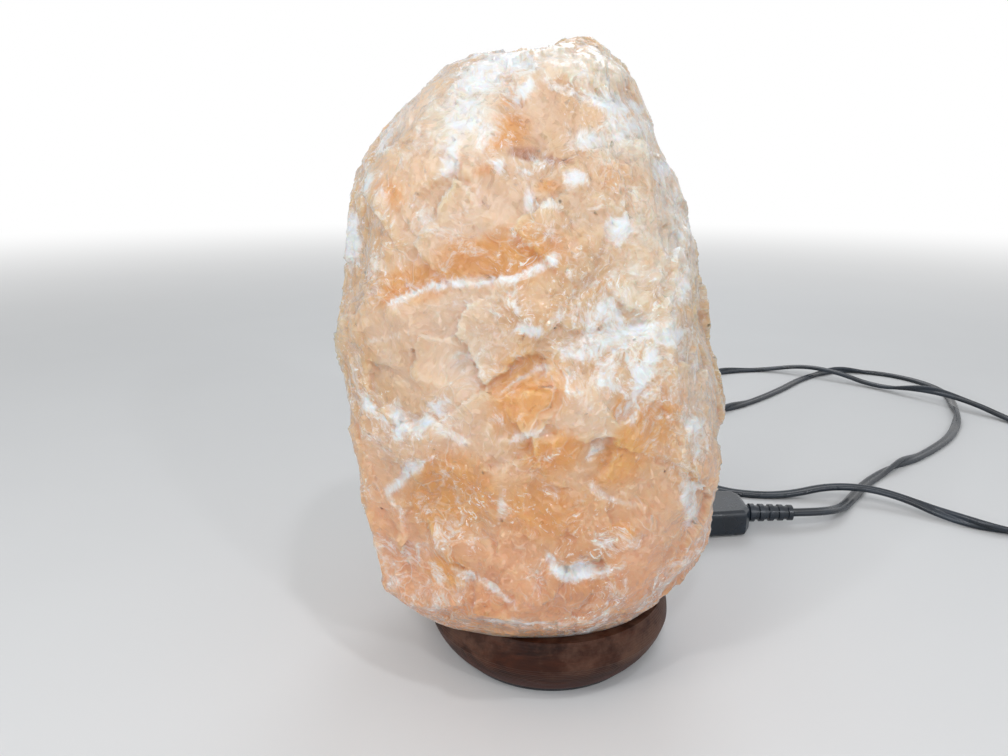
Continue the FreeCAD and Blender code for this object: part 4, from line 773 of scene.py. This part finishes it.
def fracture_tree():
    """Geometry Nodes: faces at two sizes, each leaning its own way with a step to the next, the
    named ledges, and fine roughness, along the normal; less where the crystal is smooth and not at
    all inside the bore. Keeps each point's first place for the material."""
    tree = bpy.data.node_groups.new("salt_fracture", "GeometryNodeTree")
    tree.interface.new_socket("Geometry", in_out="INPUT", socket_type="NodeSocketGeometry")
    for name, value in (("Face Depth", 0.8), ("Step Depth", 0.35), ("Grit Depth", 0.3),
                        ("Set Back", 0.2)):
        socket = tree.interface.new_socket(name, in_out="INPUT", socket_type="NodeSocketFloat")
        socket.default_value = value
    tree.interface.new_socket("Salt", in_out="INPUT", socket_type="NodeSocketMaterial")
    tree.interface.new_socket("Geometry", in_out="OUTPUT", socket_type="NodeSocketGeometry")
    entry = add(tree, "NodeGroupInput", out=None)
    place = add(tree, "GeometryNodeInputPosition")
    bent = crazed(tree, place)
    faces = 0.0
    for scale, lean in CELLS:
        cell = add(tree, "TexVoronoi", {"Vector": bent, "Scale": scale}, None)
        tipped = add(tree, "VectorMath", {0: cell["Color"], 1: (0.5, 0.5, 0.5)},
                     operation="SUBTRACT")
        from_middle = add(tree, "VectorMath", {0: bent, 1: cell["Position"]},
                          operation="SUBTRACT")
        rise = add(tree, "VectorMath", {0: tipped, 1: from_middle}, "Value",
                   operation="DOT_PRODUCT")
        faces = add(tree, "Math", {0: rise, 1: lean * 2 / MM, 2: faces},
                    operation="MULTIPLY_ADD")
    total = add(tree, "Math", {0: faces, 1: entry["Face Depth"]}, operation="MULTIPLY")
    slow = add(tree, "TexNoise", {"Vector": bent, "Scale": 26.0, "Detail": 4.0,
                                  "Roughness": 0.5, "Distortion": 0.5}, "Fac")
    steps = add(tree, "Math", {0: slow, 1: STEPS}, operation="MULTIPLY")
    steps = add(tree, "Math", {0: steps}, operation="FRACT")
    grit = add(tree, "TexNoise", {"Vector": bent, "Scale": 200.0, "Detail": 6.0,
                                  "Roughness": 0.7}, "Fac")
    for level, depth in ((steps, entry["Step Depth"]), (grit, entry["Grit Depth"])):
        level = add(tree, "Math", {0: level, 1: 0.5}, operation="SUBTRACT")
        total = add(tree, "Math", {0: level, 1: depth, 2: total}, operation="MULTIPLY_ADD")
    stored = {name: add(tree, "GeometryNodeInputNamedAttribute", {"Name": name}, "Attribute",
                        data_type="FLOAT") for name in ("smooth", "outside", "cut")}
    keep = add(tree, "Math", {0: stored["smooth"], 1: -0.8, 2: 1.0}, operation="MULTIPLY_ADD")
    total = add(tree, "Math", {0: total, 1: keep}, operation="MULTIPLY")
    for taken in (stored["cut"], entry["Set Back"]):
        total = add(tree, "Math", {0: total, 1: taken}, operation="SUBTRACT")
    for part in (stored["outside"], MM):
        total = add(tree, "Math", {0: total, 1: part}, operation="MULTIPLY")
    normal = add(tree, "GeometryNodeInputNormal")
    shift = add(tree, "VectorMath", {0: normal, "Scale": total}, operation="SCALE")
    kept = add(tree, "GeometryNodeStoreNamedAttribute", {
        "Geometry": entry["Geometry"], "Name": "rest", "Value": place},
        data_type="FLOAT_VECTOR", domain="POINT")
    moved = add(tree, "GeometryNodeSetPosition", {"Geometry": kept, "Offset": shift})
    real = add(tree, "GeometryNodeRealizeInstances", {0: moved})
    coated = add(tree, "GeometryNodeSetMaterial", {"Geometry": real, "Material": entry["Salt"]})
    add(tree, "NodeGroupOutput", {"Geometry": coated}, None)
    return tree


def grown(name, mesh, tree, **values):
    """A mesh put through a Geometry Nodes tree, as a plain object with no modifier left."""
    rough = bpy.data.objects.new(name, mesh)
    bpy.context.scene.collection.objects.link(rough)
    growing = rough.modifiers.new("growing", "NODES")
    growing.node_group = tree
    sockets = {item.name: item.identifier for item in tree.interface.items_tree
               if item.in_out == "INPUT"}
    for key, value in values.items():
        growing[sockets[key.replace("_", " ")]] = value
    bpy.context.view_layer.update()
    graph = bpy.context.evaluated_depsgraph_get()
    done = bpy.data.meshes.new_from_object(rough.evaluated_get(graph), depsgraph=graph)
    rough.modifiers.clear()
    rough.data = done
    bpy.data.meshes.remove(mesh)
    return rough


def shaded(mesh):
    """Smooth shading on every face."""
    mesh.polygons.foreach_set("use_smooth", [True] * len(mesh.polygons))
    mesh.update()


def make_crystal(salt):
    """The broken rock of salt, kept inside the CAD crystal's box."""
    stone = grown("rock_crystal", crystal_mesh(), fracture_tree(), Salt=salt)
    low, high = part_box("salt_crystal")
    points = np.zeros(len(stone.data.vertices) * 3)
    stone.data.vertices.foreach_get("co", points)
    points = np.clip(points.reshape(-1, 3), np.array(low), np.array(high))
    stone.data.vertices.foreach_set("co", points.ravel())
    shaded(stone.data)
    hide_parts("salt_crystal")
    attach(stone, "lamp")
    return stone


# ---- the twin flex, in mm and degrees --------------------------------------------------------------

# Heights of its middle: on the table, and where it crosses over another part of itself.
ON_TABLE = 2.95
OVER = 9.3
LAMP_ROUTE = [
    (30.0, 51.96, 4.6), (38.0, 65.82, 4.6), (46, 88, ON_TABLE), (38, 116, ON_TABLE),
    (10, 132, ON_TABLE), (-26, 138, ON_TABLE), (-60, 152, ON_TABLE), (-84, 182, ON_TABLE),
    (-88, 222, ON_TABLE), (-76, 256, ON_TABLE), (-56, 282, 3.6), (-33, 292, 7), (-14, 292, 7),
]
PLUG_ROUTE = [
    (50, 292, 7), (69, 292, 7), (94, 302, 3.6), (120, 326, ON_TABLE), (146, 358, ON_TABLE),
    (180, 382, ON_TABLE), (216, 388, ON_TABLE), (243, 377, OVER), (265, 358, OVER),
    (288, 334, ON_TABLE), (314, 302, OVER), (330, 276, OVER), (346, 248, ON_TABLE),
    (355, 210, ON_TABLE), (348, 170, ON_TABLE), (325, 134, ON_TABLE), (293, 104, ON_TABLE),
    (264, 83, ON_TABLE), (238, 78, ON_TABLE), (216, 90, ON_TABLE), (193, 114, OVER),
    (166, 124, OVER), (138, 123, ON_TABLE), (112, 126, ON_TABLE), (87, 142, ON_TABLE),
    (70, 170, ON_TABLE), (72, 206, ON_TABLE), (96, 238, ON_TABLE), (132, 262, ON_TABLE),
    (170, 290, ON_TABLE), (206, 324, ON_TABLE), (238, 360, ON_TABLE), (270, 382, ON_TABLE),
    (306, 380, ON_TABLE), (332, 354, ON_TABLE), (338, 318, ON_TABLE), (324, 283, ON_TABLE),
    (306, 247, ON_TABLE), (284, 217, ON_TABLE), (262, 196, ON_TABLE), (239, 177, ON_TABLE),
    (215, 161, ON_TABLE), (190, 139, ON_TABLE), (174, 119, ON_TABLE), (159, 101, 4.2),
    (145, 91.5, 7), (130, 91, 7),
]
CORE, SPREAD = 1.45, 1.45  # radius of each core's sheath, and its distance from the flex's middle
GROOVE = 38.0  # half of the angle of each sheath that the other one hides
STEP = 2.0  # between one ring of points and the next
HELD, SETTLING = 22.0, 26.0  # how far a fitting holds each end, and over what length it then settles
# Half turns of each flex: where along it the turn is, how far it turns, and over what length.
LAMP_TWISTS = [(110, 180, 60), (250, 180, 70)]
PLUG_TWISTS = [(150, 180, 80), (330, 180, 70), (520, 180, 60), (640, -180, 70), (800, 180, 80),
               (960, 180, 70), (1130, -180, 60), (1290, 180, 70), (1420, 180, 60)]


def spline_points(route):
    """Points a step apart along the NURBS spline with the route as its control points, and how far
    along it each is."""
    data = bpy.data.curves.new("route", "CURVE")
    data.dimensions = "3D"
    data.resolution_u = 16
    spline = data.splines.new("NURBS")
    spline.points.add(len(route) - 1)
    for spot, place in zip(spline.points, route):
        spot.co = (*(c * MM for c in place), 1.0)
    spline.order_u = 3
    spline.use_endpoint_u = True
    line = bpy.data.objects.new("route", data)
    bpy.context.scene.collection.objects.link(line)
    bpy.context.view_layer.update()
    graph = bpy.context.evaluated_depsgraph_get()
    mesh = bpy.data.meshes.new_from_object(line.evaluated_get(graph), depsgraph=graph)
    points = np.array([v.co for v in mesh.vertices]) / MM
    bpy.data.objects.remove(line)
    bpy.data.curves.remove(data)
    bpy.data.meshes.remove(mesh)
    gone = np.concatenate([[0], np.cumsum(np.linalg.norm(np.diff(points, axis=0), axis=1))])
    even = np.linspace(0, gone[-1], int(gone[-1] / STEP) + 1)
    return np.stack([np.interp(even, gone, points[:, i]) for i in range(3)], 1), even


def twin_outline(count=13):
    """The flat flex's outline: two round cores with a shallow groove between them."""
    shown = math.pi - math.radians(GROOVE)
    angles = np.linspace(-shown, shown, count)
    right = np.stack([SPREAD + CORE * np.cos(angles), CORE * np.sin(angles)], 1)
    return np.concatenate([right, -right])


def make_flex(name, route, twists, rubber):
    """The flex along its route, lying flat or on edge as its twist goes, on the table."""
    line, gone = spline_points(route)
    length = gone[-1]
    inside = np.clip((np.minimum(gone, length - gone) - HELD) / SETTLING, 0, 1)
    settle = inside**2 * (3 - 2 * inside)
    turn = np.zeros(len(gone))
    for where, how_far, over in twists:
        share = np.clip((gone - (where - over / 2)) / over, 0, 1)
        turn += math.radians(how_far) * share**2 * (3 - 2 * share)
    half = CORE + SPREAD * np.abs(np.sin(turn))
    line[:, 2] += (half - ON_TABLE) * settle
    ahead = np.gradient(line, axis=0)
    ahead /= np.linalg.norm(ahead, axis=1)[:, None]
    side = np.cross(ahead, [0.0, 0.0, 1.0])
    side /= np.linalg.norm(side, axis=1)[:, None]
    up = np.cross(side, ahead)
    across = side * np.cos(turn)[:, None] + up * np.sin(turn)[:, None]
    over = np.cross(across, ahead)
    outline = twin_outline()
    rings = (line[:, None] + outline[None, :, :1] * across[:, None]
             + outline[None, :, 1:] * over[:, None])
    count = len(outline)
    points = rings.reshape(-1, 3) * MM
    faces = []
    for index in range(len(line) - 1):
        a, b = index * count, (index + 1) * count
        for k in range(count):
            n = (k + 1) % count
            faces.append((a + k, a + n, b + n, b + k))
    faces.append(list(range(count)))
    faces.append([len(points) - 1 - k for k in range(count)])
    mesh = bpy.data.meshes.new(name)
    mesh.from_pydata(points.tolist(), [], faces)
    mesh.validate()
    shape = bmesh.new()
    shape.from_mesh(mesh)
    bmesh.ops.recalc_face_normals(shape, faces=shape.faces)
    shape.to_mesh(mesh)
    shape.free()
    shaded(mesh)
    mesh.materials.append(rubber)
    flex = bpy.data.objects.new(name, mesh)
    bpy.context.scene.collection.objects.link(flex)
    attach(flex, "lamp")
    return flex, [tuple(p) for p in line * MM]


# ---- finishes for every piece ----------------------------------------------------------------------

salt = rock_salt()
wood = stained_wood()
# The black PVC's blue tint is a painted reflection of bluish light; its near-black is the plastic's
# own.
pvc = plastic("black_pvc", "#161D25", "#222C37", 0.27, 0.00004, 700.0)
shell_black = plastic("black_abs", "#15171A", "#1D2024", 0.42, 0.00004, 1400.0)
bakelite = plastic("black_thermoset", "#17130F", "#231D18", 0.3)
nylon = plastic("white_nylon", "#DEDCD4", "#CFCBC0", 0.45)
sheath = plastic("core_insulation", "#6E4A2C", "#5F3F26", 0.4)
zinc = metal("zinc_plated_steel", "#C9C7BE", "#A8A69C", 0.36)
spring = metal("spring_steel", "#A5A8AB", "#7D8084", 0.32)
brass = metal("brass", "#C6A254", "#A98641", 0.34)
nickel = metal("nickel_plated_brass", "#CFCBC2", "#B3AEA2", 0.28)
tungsten = metal("tungsten", "#7C7A78", "#5B5957", 0.45)
clear_glass = glass("bulb_glass", "#FBFCFC")
dark_glass = plastic("black_glass", "#0B0B0D", "#141416", 0.2)
black_felt = felt()

FINISHES = {
    wood: ["wooden_base"], black_felt: ["felt_ring"],
    zinc: ["base_screws", "retaining_plate", "threaded_nipple", "nipple_nut", "terminal_screws",
           "switch_screws", "rocker_pin"],
    nylon: ["screw_anchors", "bulb_stem"], spring: ["spring_clips", "clip_rivets"],
    bakelite: ["holder_cap", "holder_sleeve", "holder_insulator"],
    brass: ["screw_shell", "centre_contact", "holder_terminals", "bulb_contact",
            "switch_contacts", "switch_spring"],
    nickel: ["bulb_cap", "plug_pins", "bulb_leads"], tungsten: ["bulb_filament"],
    clear_glass: ["bulb_glass"], dark_glass: ["bulb_insulator"],
    sheath: ["holder_leads", "switch_leads"],
    pvc: ["flex_bush", "plug_body", "strain_relief", "pin_sleeves"],
    shell_black: ["plug_bridge", "switch_lower", "switch_upper", "switch_rocker"],
}
for material, names in FINISHES.items():
    for name in names:
        data = nodes[name].data
        data.materials.clear()
        data.materials.append(material)

make_crystal(salt)

lamp_flex, lamp_path = make_flex("flex_to_switch", LAMP_ROUTE, LAMP_TWISTS, pvc)
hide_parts("flex_lamp_side")
plug_flex, plug_path = make_flex("flex_to_plug", PLUG_ROUTE, PLUG_TWISTS, pvc)
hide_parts("flex_plug_side")

# ---- the table, the backdrop, the camera and the lights ---------------------------------------------

scene = bpy.context.scene
scene.view_settings.view_transform = "Standard"

TABLE_DROP = -0.0001  # just under the felt and the cords, so that no two faces share a plane
TABLE_REACH = 6.0  # metres from the lamp to the table's edges
FADE_FROM, FADE_TO = 0.45, 2.2  # metres from the lamp over which the table turns white


def stage_table():
    """A plain pale table that fades to the white backdrop far from the lamp."""
    made, tree, shader = finish("pale_table", {"Roughness": 0.7})
    place = add(tree, "TexCoord", out="Object")
    tone = add(tree, "TexNoise", {"Vector": place, "Scale": 6.0, "Detail": 4.0,
                                  "Roughness": 0.55}, "Fac")
    tone = add(tree, "Mix", {0: tone, 6: colour("#DCDCDB"), 7: colour("#E2E2E1")}, 2, **COLOURS)
    tree.links.new(tone, shader.inputs["Base Color"])
    away = add(tree, "VectorMath", {0: place}, "Value", operation="LENGTH")
    fade = add(tree, "MapRange", {0: away, 1: FADE_FROM, 2: FADE_TO}, **SMOOTH)
    ray = add(tree, "LightPath", out="Is Camera Ray")
    fade = add(tree, "Math", {0: fade, 1: ray}, operation="MULTIPLY")
    white = add(tree, "Emission", {"Color": (1, 1, 1, 1), "Strength": 1.0})
    shown = add(tree, "MixShader", {0: fade, 1: shader.outputs[0], 2: white})
    tree.links.new(shown, tree.nodes["Material Output"].inputs["Surface"])
    mesh = bpy.data.meshes.new("table")
    corners = ((-1, -1), (1, -1), (1, 1), (-1, 1))
    mesh.from_pydata([(x * TABLE_REACH, y * TABLE_REACH, TABLE_DROP) for x, y in corners], [],
                     [(0, 1, 2, 3)])
    mesh.materials.append(made)
    table = bpy.data.objects.new("table", mesh)
    scene.collection.objects.link(table)


def light(name, at, towards, size, power, shade):
    """A round lamp: its place, where it points and its size in metres, its power in watts."""
    data = bpy.data.lights.new(name, "AREA")
    data.shape = "DISK"
    data.size = size
    data.energy = power
    data.color = colour(shade)[:3]
    lamp = bpy.data.objects.new(name, data)
    lamp.location = at
    lamp.rotation_euler = (Vector(towards) - Vector(at)).to_track_quat("-Z", "Y").to_euler()
    scene.collection.objects.link(lamp)


def backdrop():
    """White to the camera and in reflections, softer white for the light that it gives."""
    world = bpy.data.worlds.new("studio")
    world.use_nodes = True
    scene.world = world
    tree = world.node_tree
    tree.nodes.clear()
    rays = add(tree, "LightPath", out=None)
    seen = rays["Is Camera Ray"]
    for kind in ("Is Glossy Ray", "Is Transmission Ray"):
        seen = add(tree, "Math", {0: seen, 1: rays[kind]}, operation="MAXIMUM")
    soft = add(tree, "Background", {"Color": colour("#F4F7FA"), "Strength": 0.45})
    white = add(tree, "Background", {"Color": (1, 1, 1, 1), "Strength": 1.0})
    shown = add(tree, "MixShader", {0: seen, 1: soft, 2: white})
    add(tree, "OutputWorld", {0: shown}, None)


# Places of small bright lights whose reflections make the salt glint.
GLINTS = [(-0.52, -0.52, 0.55), (-0.10, -0.72, 0.66), (0.40, -0.62, 0.52), (-0.30, -0.70, 0.22),
          (0.15, -0.35, 0.80)]

# A key light above on the left, a wide soft fill on the right, the glints, and a rim light behind,
# which parts the crystal from the backdrop.
stage_table()
backdrop()
light("key", (-0.45, -0.55, 0.95), (0.0, 0.0, 0.10), 0.35, 2.1, "#FFFDF9")
light("fill", (0.8, -0.6, 0.6), (0.0, 0.0, 0.08), 0.9, 1.1, "#F6FAFF")
for number, spot in enumerate(GLINTS):
    light(f"glint_{number}", spot, (0.0, 0.0, 0.11), 0.05, 0.8, "#F6F9FF")
light("rim", (0.2, 0.9, 0.9), (0.0, 0.05, 0.12), 0.6, 2.4, "#F2F7FF")

camera_data = bpy.data.cameras.new("camera")
camera_data.lens, camera_data.sensor_width = LENS, SENSOR
camera_data.clip_start = 0.01
camera = bpy.data.objects.new("camera", camera_data)
camera.location = CAMERA_AT
camera.rotation_euler = (math.radians(90 - CAMERA_DOWN), 0, 0)
scene.collection.objects.link(camera)
scene.camera = camera
